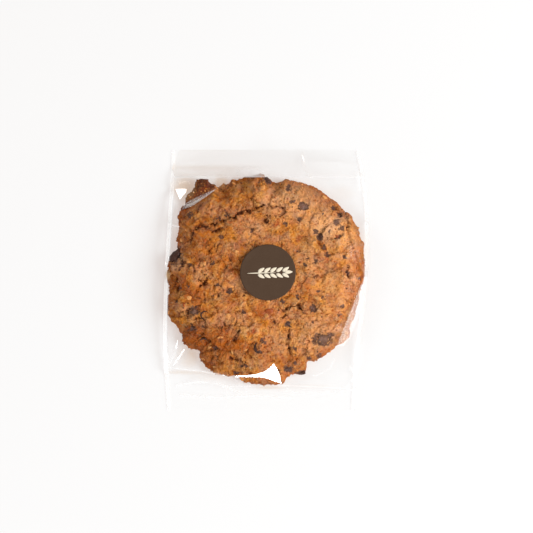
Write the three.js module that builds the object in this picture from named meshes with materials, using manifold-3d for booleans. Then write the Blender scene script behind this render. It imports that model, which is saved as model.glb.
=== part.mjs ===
// A large ranger cookie lying flat in its clear, sealed bag, with a round paper label stuck on top.
// Millimetres, +Z up. The origin is on the table under the middle of the bag, +Y runs towards the
// folded flap that closes the bag, and +X towards its right-hand side seam.
//
// The bag is one solid: the film is stretched over the cookie, so its skin has the cookie's lobed
// outline, domed crown and lumps, and from the rim it falls in a taut skirt to the welded seams.
import * as THREE from "three";
import Module from "manifold-3d";

// Driving dimensions.
const BAG_LENGTH = 151;
const BAG_WIDTH = 118.8;
const TOP_WIDTH = 108.6; // over the folded flap, where a pleat draws the bag in
const BOTTOM_WIDTH = 108.4;
const TOP_SHIFT = -0.6; // the ends lie a little to the left of the bag's widest part
const BOTTOM_SHIFT = -3.2;
const BOW_PLACE = 0.64; // how far along its side the bag is widest
const COOKIE_RADIUS = 58.2; // mean radius, before lobes and notches
const CROWN_HEIGHT = 15.4; // film above the table over the middle of the cookie
const LABEL_DIAMETER = 32;
const LABEL_THICKNESS = 0.3;

// Film and seams.
const SEAM_WIDTH = 1.8; // flat welded strip round the bag
const SEAM_THICKNESS = 0.7;
const SEAM_LIFT = 4.2; // how far the cookie's side would lift a seam that touches it
const SEAM_LIFT_REACH = 7; // the lift fades with the gap between cookie and seam
const FLAP_DEPTH = 15.6; // folded-over flap, from the bag's top edge to its free edge
const FLAP_STEP = 0.45; // thickness that the flap adds to the bag's face
const FLAP_INSET = 0.9; // the flap stops short of the side edges
const FLAP_BITE = 0.5; // how far the flap's layer is sunk into the bag, so that they fuse
const FLAP_CELL = 4.4;

// Cookie profile.
const SHOULDER_HEIGHT = 6.6; // where the film leaves the cookie's rim
const SHOULDER_RUN = 17; // the crown is reached this far in from the rim
const BASE_INSET = 5; // the rounded lower edge keeps the flat base this far inside the outline
const FILM_RUN = 15; // length of the skirt from the rim to where the film lies flat

// Label place, and the level patch of film that it holds flat.
const LABEL_CENTRE = [0.9, 4.4];
const LABEL_GAP = 0.3;
const PATCH_RADIUS = LABEL_DIAMETER / 2 + 2.6;
const PATCH_BLEND = 6;

// Mesh fineness.
const COOKIE_CELL = 2.35;
const SKIRT_RINGS = 6;
const EDGE_CELL = 3.1;
const LABEL_SIDES = 96;

const GOLDEN_ANGLE = Math.PI * (3 - Math.sqrt(5));

// Lobes (rise above 0) and notches (below 0) of the cookie's outline: where they are, in degrees
// from +X, how far they stand out or in, and how wide they are, in degrees.
const LOBES = [
  { at: 32, rise: 2.6, spread: 8 },
  { at: 56, rise: 1.2, spread: 12 },
  { at: 85, rise: -2.4, spread: 3.5 },
  { at: 101, rise: 1.4, spread: 8 },
  { at: 126, rise: 8.8, spread: 7 },
  { at: 144, rise: 4.4, spread: 5 },
  { at: 162, rise: -3.2, spread: 7 },
  { at: 199, rise: 1.6, spread: 6 },
  { at: 240, rise: 3, spread: 9 },
  { at: 270, rise: 2.4, spread: 9 },
  { at: 291, rise: -2, spread: 7 },
  { at: 307, rise: -3.4, spread: 6 },
  { at: 352, rise: -1.8, spread: 13 },
];

// Chocolate chunks and chips that push the film up: centre, and radius of the mound.
const CHUNKS = [
  { x: 21.4, y: 41.8, r: 3.4 },
  { x: 35.4, y: -35.2, r: 5.4 },
  { x: 33.6, y: 24.6, r: 4 },
  { x: -2.6, y: -39.4, r: 4.2 },
  { x: -44.6, y: -22.2, r: 4 },
  { x: -53, y: 13.4, r: 4.4 },
  { x: 26.6, y: -15.8, r: 3.4 },
  { x: -45.8, y: 37.4, r: 3.6 },
  { x: 12.2, y: -50.6, r: 3.8 },
  { x: 41.6, y: 37.6, r: 3.6 },
  { x: -24, y: 25.4, r: 3 },
  { x: -20.6, y: -4.8, r: 3 },
];
const CHUNK_RISE = 0.22; // height of a mound for each millimetre of its radius

// Cracks across the crown, into which the film dips: two ends, depth below 0 and half width.
const CRACKS = [
  { from: [-43, 25], to: [-24.5, 33.6], height: -1.5, half: 3.2 },
  { from: [-24.5, 33.6], to: [-10, 40.8], height: -1.6, half: 3.2 },
  { from: [-10, 40.8], to: [10.3, 41.2], height: -1.2, half: 3.2 },
  { from: [11, -17], to: [17, -10], height: -1, half: 3 },
  { from: [-19, -36], to: [-14, -28], height: -1, half: 3 },
  { from: [13.5, -41], to: [13, -29], height: -1, half: 3 },
];

// Creases in the film outside the cookie: the two ends of each ridge, its height and half width.
const CREASES = [
  { from: [-57.6, -50.5], to: [-18, -57], height: 1.3, half: 4 },
  { from: [-9, -63.8], to: [50, -63.2], height: 0.9, half: 4 },
  { from: [-56.5, -72], to: [-36, -47], height: 1.2, half: 4 },
  { from: [49, -70], to: [38, -48], height: 1.3, half: 4 },
  { from: [52.5, 70], to: [41, 50], height: 1.1, half: 4 },
  { from: [20, 74], to: [26, 57], height: 1, half: 3.5 },
  { from: [-54.5, 72], to: [-45, 56], height: 1.1, half: 3.5 },
];

const clamp01 = (v) => Math.min(1, Math.max(0, v));
const smooth = (low, high, v) => {
  const t = clamp01((v - low) / (high - low));
  return t * t * (3 - 2 * t);
};
const lerp = (a, b, t) => a + (b - a) * t;

// Shortest turn between two directions, in degrees.
const turn = (a, b) => Math.abs(((a - b + 540) % 360) - 180);

// The sides of the bag in plan, anticlockwise from the right-hand one. A side bows out by `bow`
// where the cookie fills the bag, most of all at BOW_PLACE of the way along it.
function bagSides() {
  const top = BAG_LENGTH / 2;
  const topRight = [TOP_WIDTH / 2 + TOP_SHIFT, top];
  const topLeft = [-TOP_WIDTH / 2 + TOP_SHIFT, top];
  const bottomLeft = [-BOTTOM_WIDTH / 2 + BOTTOM_SHIFT, -top];
  const bottomRight = [BOTTOM_WIDTH / 2 + BOTTOM_SHIFT, -top];
  const bow = (a, b) => BAG_WIDTH / 2 - Math.abs(lerp(a[0], b[0], BOW_PLACE));
  return [
    { from: bottomRight, to: topRight, bow: bow(bottomRight, topRight) },
    { from: topRight, to: topLeft, bow: 0 },
    { from: topLeft, to: bottomLeft, bow: bow(topLeft, bottomLeft) },
    { from: bottomLeft, to: bottomRight, bow: 0 },
  ];
}

// Points round the bag's edge, about EDGE_CELL apart, with one at each corner.
function bagEdge() {
  const skew = Math.log(0.5) / Math.log(BOW_PLACE);
  return bagSides().flatMap(({ from, to, bow }) => {
    const run = [to[0] - from[0], to[1] - from[1]];
    const length = Math.hypot(...run);
    const steps = Math.round(length / EDGE_CELL);
    const outward = [run[1] / length, -run[0] / length];
    return Array.from({ length: steps }, (_, i) => {
      const t = i / steps;
      const out = bow * Math.sin(Math.PI * t ** skew);
      return [
        from[0] + run[0] * t + outward[0] * out,
        from[1] + run[1] * t + outward[1] * out,
      ];
    });
  });
}

const EDGE = bagEdge();

// Radius of the cookie's outline in one direction: a slightly lobed round with a crumbly edge.
function cookieRadius(angle) {
  const degrees = THREE.MathUtils.radToDeg(angle);
  let radius = COOKIE_RADIUS;
  for (const { at, rise, spread } of LOBES) {
    radius += rise * Math.exp(-0.5 * (turn(degrees, at) / spread) ** 2);
  }
  const crumble = 0.5 * Math.sin(17 * angle + 1) + 0.35 * Math.sin(29 * angle + 2.3);
  return radius + crumble;
}

// Swells and lumps of the dough: waves that get shorter and lower, each turned by the golden angle.
function lumps(x, y) {
  const waves = 9;
  const longest = 44;
  const shrink = 0.8;
  const steepness = 0.017;
  let height = 0;
  for (let i = 0; i < waves; i += 1) {
    const length = longest * shrink ** i;
    const along = x * Math.cos(i * GOLDEN_ANGLE) + y * Math.sin(i * GOLDEN_ANGLE);
    height += steepness * length * Math.sin((2 * Math.PI * along) / length + 1.7 * i);
  }
  return height;
}

// Film height over the cookie, at a point that lies `inside` millimetres within its outline.
function cookieTop(x, y, inside) {
  const fall = (1 - clamp01(inside / SHOULDER_RUN)) ** 2.3;
  let height = lerp(CROWN_HEIGHT, SHOULDER_HEIGHT, fall);
  height += lumps(x, y) * smooth(-2, 9, inside);
  for (const chunk of CHUNKS) {
    const near = Math.hypot(x - chunk.x, y - chunk.y) / chunk.r;
    height += CHUNK_RISE * chunk.r * Math.exp(-1.6 * near * near);
  }
  height += ridges(CRACKS, x, y);
  const fromLabel = Math.hypot(x - LABEL_CENTRE[0], y - LABEL_CENTRE[1]);
  return lerp(
    CROWN_HEIGHT,
    height,
    smooth(PATCH_RADIUS, PATCH_RADIUS + PATCH_BLEND, fromLabel),
  );
}

// Height that straight ridges, or valleys, with sloping ends add at a point.
function ridges(list, x, y) {
  let height = 0;
  for (const { from, to, height: rise, half } of list) {
    const run = [to[0] - from[0], to[1] - from[1]];
    const length = Math.hypot(...run);
    const offset = [x - from[0], y - from[1]];
    const along = (offset[0] * run[0] + offset[1] * run[1]) / length;
    const across = Math.abs(offset[0] * run[1] - offset[1] * run[0]) / length;
    const ends = smooth(-half, half, along) * smooth(-half, half, length - along);
    height += rise * clamp01(1 - across / half) * ends;
  }
  return height;
}

// One direction out from the middle: where the cookie ends, where the bag ends, and the seam there.
function direction(edgePoint) {
  const angle = Math.atan2(edgePoint[1], edgePoint[0]);
  const bag = Math.hypot(...edgePoint);
  const cookie = Math.min(cookieRadius(angle), bag - SEAM_WIDTH - 0.4);
  const gap = bag - SEAM_WIDTH - cookie;
  const lift = SEAM_LIFT * Math.exp(-gap / SEAM_LIFT_REACH);
  return { angle, bag, cookie, gap, lift };
}

const at = (angle, radius) => [radius * Math.cos(angle), radius * Math.sin(angle)];

// Height of the film on the skirt, `out` millimetres outside the cookie's rim.
function skirtTop(way, out, x, y) {
  const seamTop = way.lift + SEAM_THICKNESS;
  const run = Math.min(way.gap, FILM_RUN);
  const fall = (1 - clamp01(out / run)) ** 1.35;
  const shoulder = cookieTop(x, y, 0);
  const clear = smooth(0, 5, out) * smooth(0, 4, way.gap - out);
  return lerp(seamTop, shoulder, fall) + ridges(CREASES, x, y) * clear;
}

// A closed surface made of rings of points, each stitched to the next.
class RingedSolid {
  positions = [];
  faces = [];

  ring(points) {
    const first = this.positions.length;
    this.positions.push(...points);
    return points.map(([x, y], i) => ({ index: first + i, turn: Math.atan2(y, x) }));
  }

  // Fills the band between two rings that run the same way round, whatever their counts.
  stitch(inner, outer, flip) {
    const order = (ring) =>
      [...ring].sort((a, b) => a.turn - b.turn).map((v) => ({ ...v }));
    const a = order(inner);
    const b = order(outer);
    const turnAt = (ring, i) =>
      ring[i % ring.length].turn + (i >= ring.length ? 2 * Math.PI : 0);
    let i = 0;
    let j = 0;
    while (i < a.length || j < b.length) {
      const nextA = i < a.length ? turnAt(a, i + 1) : Infinity;
      const nextB = j < b.length ? turnAt(b, j + 1) : Infinity;
      const p = a[i % a.length].index;
      const q = b[j % b.length].index;
      if (nextA < nextB) {
        i += 1;
        this.face(p, q, a[i % a.length].index, flip);
      } else {
        j += 1;
        this.face(p, q, b[j % b.length].index, flip);
      }
    }
  }

  // Closes a ring with a fan round one point.
  cap(centre, ring, flip) {
    const hub = this.positions.push(centre) - 1;
    const order = [...ring].sort((a, b) => a.turn - b.turn);
    order.forEach((v, i) => {
      this.face(hub, v.index, order[(i + 1) % order.length].index, flip);
    });
  }

  face(a, b, c, flip) {
    this.faces.push(...(flip ? [a, c, b] : [a, b, c]));
  }

  geometry() {
    const geometry = new THREE.BufferGeometry();
    geometry.setAttribute(
      "position",
      new THREE.Float32BufferAttribute(this.positions.flat(), 3),
    );
    geometry.setIndex(this.faces);
    geometry.computeVertexNormals();
    return geometry;
  }
}

// The film's outer face: rings over the cookie, then rings down the skirt, then the flat seam.
function addTop(solid, ways) {
  const rings = Math.round(COOKIE_RADIUS / COOKIE_CELL);
  let previous;
  for (let k = 1; k <= rings; k += 1) {
    const share = k / rings;
    const count = Math.max(8, Math.round((2 * Math.PI * COOKIE_RADIUS * share) / COOKIE_CELL));
    const directions =
      k === rings ? ways : evenDirections(count, ways, (k % 2) / 2);
    const ring = solid.ring(
      directions.map((way) => {
        const [x, y] = at(way.angle, way.cookie * share);
        return [x, y, cookieTop(x, y, way.cookie * (1 - share))];
      }),
    );
    if (previous) solid.stitch(previous, ring, false);
    else solid.cap([0, 0, cookieTop(0, 0, COOKIE_RADIUS)], ring, false);
    previous = ring;
  }
  for (let k = 1; k <= SKIRT_RINGS; k += 1) {
    const ring = solid.ring(
      ways.map((way) => {
        const out = way.gap * (k / SKIRT_RINGS) ** 1.2;
        const [x, y] = at(way.angle, way.cookie + out);
        return [x, y, skirtTop(way, out, x, y)];
      }),
    );
    solid.stitch(previous, ring, false);
    previous = ring;
  }
  const edge = solid.ring(
    ways.map((way) => [...at(way.angle, way.bag), way.lift + SEAM_THICKNESS]),
  );
  solid.stitch(previous, edge, false);
  return edge;
}

// The underside: a flat base under the cookie, then film that rises to the seams.
function addUnderside(solid, ways, topEdge) {
  const base = solid.ring(
    ways.map((way) => [...at(way.angle, way.cookie - BASE_INSET), 0]),
  );
  solid.cap([0, 0, 0], base, true);
  let previous = base;
  for (const share of [0.35, 0.7, 1]) {
    const ring = solid.ring(
      ways.map((way) => {
        const reach = way.bag - way.cookie + BASE_INSET;
        const radius = way.cookie - BASE_INSET + reach * share;
        return [...at(way.angle, radius), way.lift * share ** 1.5];
      }),
    );
    solid.stitch(previous, ring, true);
    previous = ring;
  }
  solid.stitch(previous, topEdge, true);
}

// Evenly spread directions, with the cookie's and the bag's radius found between known ones.
function evenDirections(count, ways, offset) {
  return Array.from({ length: count }, (_, i) => {
    const angle = ((i + offset) / count) * 2 * Math.PI - Math.PI;
    return { angle, cookie: Math.min(cookieRadius(angle), limitAt(angle, ways)) };
  });
}

// Largest radius that the bag leaves the cookie in one direction.
function limitAt(angle, ways) {
  const away = (way) => Math.abs(Math.sin((way.angle - angle) / 2));
  const nearest = ways.reduce((best, way) => (away(way) < away(best) ? way : best));
  return nearest.bag - SEAM_WIDTH - 0.4;
}

// Height of the film's outer face anywhere on the bag.
function topAt(x, y) {
  const angle = Math.atan2(y, x);
  const edge = bagRadius(angle);
  const way = direction(at(angle, edge));
  const radius = Math.hypot(x, y);
  return radius < way.cookie
    ? cookieTop(x, y, way.cookie - radius)
    : skirtTop(way, Math.min(radius - way.cookie, way.gap), x, y);
}

// Radius of the bag's edge in one direction, from the edge points on either side of it.
function bagRadius(angle) {
  for (let i = 0; i < EDGE.length; i += 1) {
    const [ax, ay] = EDGE[i];
    const [bx, by] = EDGE[(i + 1) % EDGE.length];
    const c = Math.cos(angle);
    const s = Math.sin(angle);
    const sideA = c * ay - s * ax;
    const sideB = c * by - s * bx;
    if (sideA <= 0 && sideB > 0 && c * (ax + bx) + s * (ay + by) > 0) {
      const t = sideA / (sideA - sideB);
      return Math.hypot(lerp(ax, bx, t), lerp(ay, by, t));
    }
  }
  throw new Error("the bag's edge does not go all the way round");
}

// The flap: a thin layer that follows the film below it, from the top edge to a straight free edge.
function flapGeometry() {
  const top = BAG_LENGTH / 2;
  const free = top - FLAP_DEPTH;
  const left = -TOP_WIDTH / 2 + TOP_SHIFT + FLAP_INSET;
  const right = TOP_WIDTH / 2 + TOP_SHIFT - FLAP_INSET;
  const columns = Math.round((right - left) / FLAP_CELL);
  const rows = Math.round(FLAP_DEPTH / FLAP_CELL);
  const layer = new THREE.BoxGeometry(1, 1, 1, columns, rows, 1);
  const place = layer.attributes.position;
  for (let i = 0; i < place.count; i += 1) {
    const x = lerp(left, right, place.getX(i) + 0.5);
    const y = lerp(free, top - 0.5, place.getY(i) + 0.5);
    const lift = place.getZ(i) > 0 ? FLAP_STEP : -FLAP_BITE;
    place.setXYZ(i, x, y, topAt(x, y) + lift);
  }
  return layer;
}

const wasm = await Module();
wasm.setup();

// A three.js geometry as a solid that can be joined to another.
function solidFrom(geometry) {
  const source = geometry.index ? geometry.toNonIndexed() : geometry;
  const place = source.attributes.position;
  const known = new Map();
  const vertices = [];
  const triangles = [];
  for (let i = 0; i < place.count; i += 1) {
    const point = [place.getX(i), place.getY(i), place.getZ(i)];
    const key = point.map((v) => v.toFixed(4)).join();
    if (!known.has(key)) {
      known.set(key, known.size);
      vertices.push(...point);
    }
    triangles.push(known.get(key));
  }
  return new wasm.Manifold(
    new wasm.Mesh({
      numProp: 3,
      vertProperties: new Float32Array(vertices),
      triVerts: new Uint32Array(triangles),
    }),
  );
}

// A joined solid back as a three.js geometry.
function geometryFrom(solid) {
  const { vertProperties, triVerts } = solid.getMesh();
  const geometry = new THREE.BufferGeometry();
  geometry.setAttribute("position", new THREE.BufferAttribute(vertProperties, 3));
  geometry.setIndex(new THREE.BufferAttribute(triVerts, 1));
  const flat = geometry.toNonIndexed();
  flat.computeVertexNormals();
  return flat;
}

function makeBag() {
  const ways = EDGE.map(direction);
  const body = new RingedSolid();
  const edge = addTop(body, ways);
  addUnderside(body, ways, edge);
  const joined = solidFrom(body.geometry()).add(solidFrom(flapGeometry()));
  const film = new THREE.MeshStandardMaterial({
    color: 0xb9773f,
    roughness: 0.25,
    metalness: 0,
  });
  const mesh = new THREE.Mesh(geometryFrom(joined), film);
  mesh.name = "bag";
  return mesh;
}

function makeLabel() {
  const radius = LABEL_DIAMETER / 2;
  const disc = new THREE.CylinderGeometry(radius, radius, LABEL_THICKNESS, LABEL_SIDES);
  const paper = new THREE.MeshStandardMaterial({
    color: 0x554437,
    roughness: 0.75,
    metalness: 0,
  });
  const mesh = new THREE.Mesh(disc, paper);
  mesh.name = "label";
  mesh.rotation.x = Math.PI / 2;
  mesh.position.set(...LABEL_CENTRE, CROWN_HEIGHT + LABEL_GAP + LABEL_THICKNESS / 2);
  return mesh;
}

const pack = new THREE.Group();
pack.add(makeBag(), makeLabel());
export default pack;
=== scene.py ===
"""A large ranger cookie in its clear bag, laid out as an add-on: one operator for each group of pieces."""

import itertools
import math
from typing import NamedTuple

import bmesh
import bpy
import numpy as np
from bpy.props import FloatProperty, FloatVectorProperty, IntProperty, PointerProperty
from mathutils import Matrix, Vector
from mathutils.bvhtree import BVHTree
from mathutils.geometry import delaunay_2d_cdt


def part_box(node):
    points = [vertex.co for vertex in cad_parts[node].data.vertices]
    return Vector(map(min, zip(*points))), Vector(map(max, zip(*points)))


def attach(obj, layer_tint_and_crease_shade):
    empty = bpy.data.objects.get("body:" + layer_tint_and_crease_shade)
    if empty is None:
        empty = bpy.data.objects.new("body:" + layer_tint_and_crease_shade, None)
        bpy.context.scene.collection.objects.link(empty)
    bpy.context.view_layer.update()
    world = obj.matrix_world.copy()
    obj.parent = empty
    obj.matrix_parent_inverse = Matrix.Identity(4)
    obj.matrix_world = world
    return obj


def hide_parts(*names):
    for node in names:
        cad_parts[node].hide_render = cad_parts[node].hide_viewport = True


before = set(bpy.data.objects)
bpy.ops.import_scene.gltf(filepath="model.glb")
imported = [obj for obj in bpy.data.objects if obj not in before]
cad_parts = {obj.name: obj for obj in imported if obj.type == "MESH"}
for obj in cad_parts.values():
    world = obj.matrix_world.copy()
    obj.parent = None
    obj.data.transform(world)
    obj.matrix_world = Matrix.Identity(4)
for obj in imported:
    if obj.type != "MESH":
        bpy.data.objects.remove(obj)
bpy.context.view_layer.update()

bl_info = {
    "name": "Wrapped cookie",
    "version": (1, 0, 0),
    "blender": (4, 5, 0),
    "location": "3D View > Sidebar > Cookie",
    "description": "Builds a craggy oat and chocolate cookie, its clear bag and the round label on it",
    "category": "Add Mesh",
}

MM = 0.001
TINY = 0.001  # keeps a share from being divided by nothing
UP = np.array([0.0, 0.0, 1.0])

# ---- Measures in millimetres. The places are in the frame's own plan: +X right, +Y to the flap.

BAG_LOW, BAG_HIGH = (np.array(corner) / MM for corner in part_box("bag"))
LABEL_LOW, LABEL_HIGH = (np.array(corner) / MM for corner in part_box("label"))
LABEL_CENTRE = (LABEL_LOW + LABEL_HIGH)[:2] / 2
LABEL_RADIUS = (LABEL_HIGH - LABEL_LOW)[0] / 2
CAMERA_SHIFT = (0.1, 7.8)  # place over which the camera hangs
FLOOR_REACH = 3000.0  # from the middle of the floor to its edges
LABEL_GLUE = 0.06  # gap between the film and the label
LABEL_FILM = LABEL_LOW[2] - LABEL_GLUE  # level of the film that the label is stuck to
LABEL_THICKNESS = 0.22
INK_LEVEL = LABEL_THICKNESS + 0.02  # top of the print over the label's underside
LEAST_CEILING = 0.5  # the film never presses anything lower than this

# The bag's plan, as in the solid that the film replaces.
BAG_LENGTH = BAG_HIGH[1] - BAG_LOW[1]
BAG_WIDTH = 118.8
END_WIDTH = 108.5
TOP_SHIFT = -0.6
BOTTOM_SHIFT = -3.2
BOW_PLACE = 0.64
WELD = 1.8  # width of the welded side seams
WELD_LINES = (0.4, WELD - 0.45, WELD, WELD + 0.45, WELD + 1.1)  # rows of points along each of them
FLAP_DEPTH = 16.4  # from the bag's top end to the flap's free edge
FLAP_INSET = 0.6  # the flap stays this far inside the seams' outer edges
FLAP_CREASE = 0.38  # place of the crease along the flap, from its free edge to the fold
FLAP_FREE = BAG_LENGTH / 2 - FLAP_DEPTH
FLAP_FOLD = BAG_LENGTH / 2 - 0.15
SLANT = 3.4  # how far the flap's left side leans in towards the top end
FREE_SLANT = 1.6  # how far it leans in towards the free edge
PLEAT = [(20.9, 73.5), (21.4, 67.0), (23.6, 62.0), (25.8, 59.6)]  # a short pleat across the flap

# Lobes and notches of the cookie's outline: degrees from +X, how far out, half width in degrees and
# how square they are: 2 is a soft bell, 8 almost a step.
OUTLINE = [
    (4, -1.2, 9, 2), (17, 0.8, 4, 2), (20.5, 0.8, 1.6, 4), (33, 2.4, 7, 2), (42, -0.45, 1, 2),
    (52, -0.4, 1, 2), (58, 1.9, 14, 2), (64, 0.7, 1.2, 4), (78.6, 0.6, 1.5, 4), (84.3, -2.8, 2.8, 2),
    (97, 3.2, 6.5, 2), (112.5, 2.6, 4.6, 4), (116.5, -0.9, 2, 2), (123.8, 5.2, 3.3, 2),
    (131, 2.8, 5, 2), (133, 5.4, 13.4, 9), (162, -2.6, 6, 2), (175, 4.6, 3.6, 4), (186, -1.4, 4, 2),
    (199, 1.8, 5, 2), (218.5, 2.6, 3.4, 4), (227.5, -1.2, 2, 2), (234, 1.6, 2.5, 2), (241, 3.4, 4.6, 2),
    (250.5, 0.4, 2.2, 2), (268, 2.3, 12, 14), (285, -1.4, 3.5, 4), (297, -5.6, 2.2, 2),
    (309, -3.2, 9, 6), (322, -0.6, 2.5, 2), (343, -3.6, 14, 8),
]

# Cracks in the crust: points along each, its depth and half width.
CRACKS = [
    ([(-31.5, 31.9), (-25.1, 33.9), (-18.9, 36), (-14, 39.2), (-9.6, 40), (-4.7, 41.6), (-1.4, 42.9)],
      2.3, 0.95),
    ([(-0.4, 42), (6.1, 42.1), (10.6, 40.8)], 1.6, 0.8),
    ([(-31.5, 27.4), (-28.7, 28.7), (-25.4, 29.9)], 2, 0.8),
    ([(-43.1, 27.4), (-38.4, 31.1), (-33, 30.6)], 1.5, 0.8),
    ([(-38.4, 43.7), (-40.2, 39.6)], 1.3, 0.7),
    ([(-1.3, 37.4), (1.6, 37), (-1, 33.4), (1.7, 33.2)], 1.2, 0.7),
    ([(45.2, 38.9), (47.8, 33.1), (46.9, 29.6)], 1.3, 0.7),
    ([(37.5, 42.5), (40.8, 40.6), (42.7, 37.9)], 1.2, 0.7),
    ([(-35.5, -6.2), (-35.2, -13.5)], 1.1, 0.6),
    ([(-37.3, -2.8), (-34.4, -1.4)], 1.8, 0.9),
    ([(-15.7, -29), (-17.3, -31.3), (-17.7, -35.4)], 1.9, 0.75),
    ([(-37.6, -34.1), (-35.2, -34.7), (-33.6, -37.1)], 1.7, 0.8),
    ([(10.6, -17.2), (12.2, -15.1), (15.5, -14.7), (17.9, -13.9), (20.7, -17.2)], 2.1, 0.85),
    ([(8.5, -21.5), (11.4, -20.1)], 1.2, 0.7),
    ([(13.6, -29), (12.6, -33.9), (12.6, -39.4), (13.5, -42.9)], 1.6, 0.65),
    ([(-52.4, 16.5), (-48.8, 12), (-49.3, 6.5)], 1.4, 0.9),
    ([(-44.5, -16), (-45.6, -23)], 1, 0.7),
    ([(25.5, 1.6), (28.9, 2.6)], 1.1, 0.6),
    ([(46.6, 7.5), (47.2, 2)], 1.2, 0.7),
    ([(-21, -44.5), (-12, -47.2)], 1.2, 0.7),
    ([(-41, 30.8), (-42.6, 27), (-43.4, 22.6)], 1.2, 0.8),
    ([(-33.4, 17.4), (-31.8, 15.6)], 1.3, 0.7),
    ([(-37.8, 11.4), (-38.9, 8.4)], 1.5, 0.7),
    ([(-41.4, 7.4), (-41, 5)], 1.3, 0.6),
    ([(-37, 4), (-34.6, 3.2), (-34.2, 0.8), (-35.6, -1.5), (-37.6, -3.4)], 1.7, 0.6),
    ([(-52, 1.2), (-52.8, -2.4), (-52, -6.4)], 1.2, 0.8),
    ([(-27.8, -6.2), (-27.7, -9)], 1, 0.4),
    ([(-22.6, 14.6), (-19.6, 9.6)], 0.7, 0.4),
]

# Edges of flakes that lie over their neighbours: points along each, with the raised side to the left
# of the way they run, and how high it stands.
FOLDS = [
    ([(37.5, 45.5), (41.5, 41.5), (45, 38.9), (47.8, 33.1), (47.2, 29.6), (48.7, 23.4), (50.3, 18.7),
      (51.9, 12.6), (55.5, 5.6)], 0.9),
    ([(10.6, 57.9), (15.5, 55.1), (24, 55.1), (29.6, 51.6)], 0.7),
    ([(30.2, 35.8), (35.6, 39.6)], 0.6),
    ([(13.6, -29.6), (12.8, -36.1), (13.9, -40.8), (17.1, -43.1), (22.4, -42.3)], 0.8),
    ([(42.5, -23), (37.2, -28.4)], 0.5),
    ([(-17.7, -43.1), (-27, -40), (-36.3, -41.6)], 0.9),
    ([(-11.6, -49.3), (-23.9, -48.5), (-33.2, -49.3)], 0.8),
    ([(-48.9, 34.2), (-44.3, 29.6), (-42.7, 22.6), (-47.3, 21)], 0.9),
    ([(-30.8, 51.1), (-24.1, 48.1), (-20, 48.4)], 0.8),
    ([(-55.1, 9.5), (-47.3, 11), (-44.3, 7.9)], 1),
    ([(-41.9, 7.9), (-36.5, 7.1), (-34.2, 11)], 0.8),
    ([(-4, 47.5), (-6.5, 53), (-4.5, 58)], 0.7),
    ([(-26, 14), (-22.6, 8), (-24, 2)], 0.6),
    ([(18.5, 11), (27, 9.4), (34, 6)], 0.5),
    ([(2, -27), (9, -28.5), (20, -27.5)], 0.5),
]

FLUSH = 0.42  # chocolate that rises less than this melted level with the crust

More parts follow.
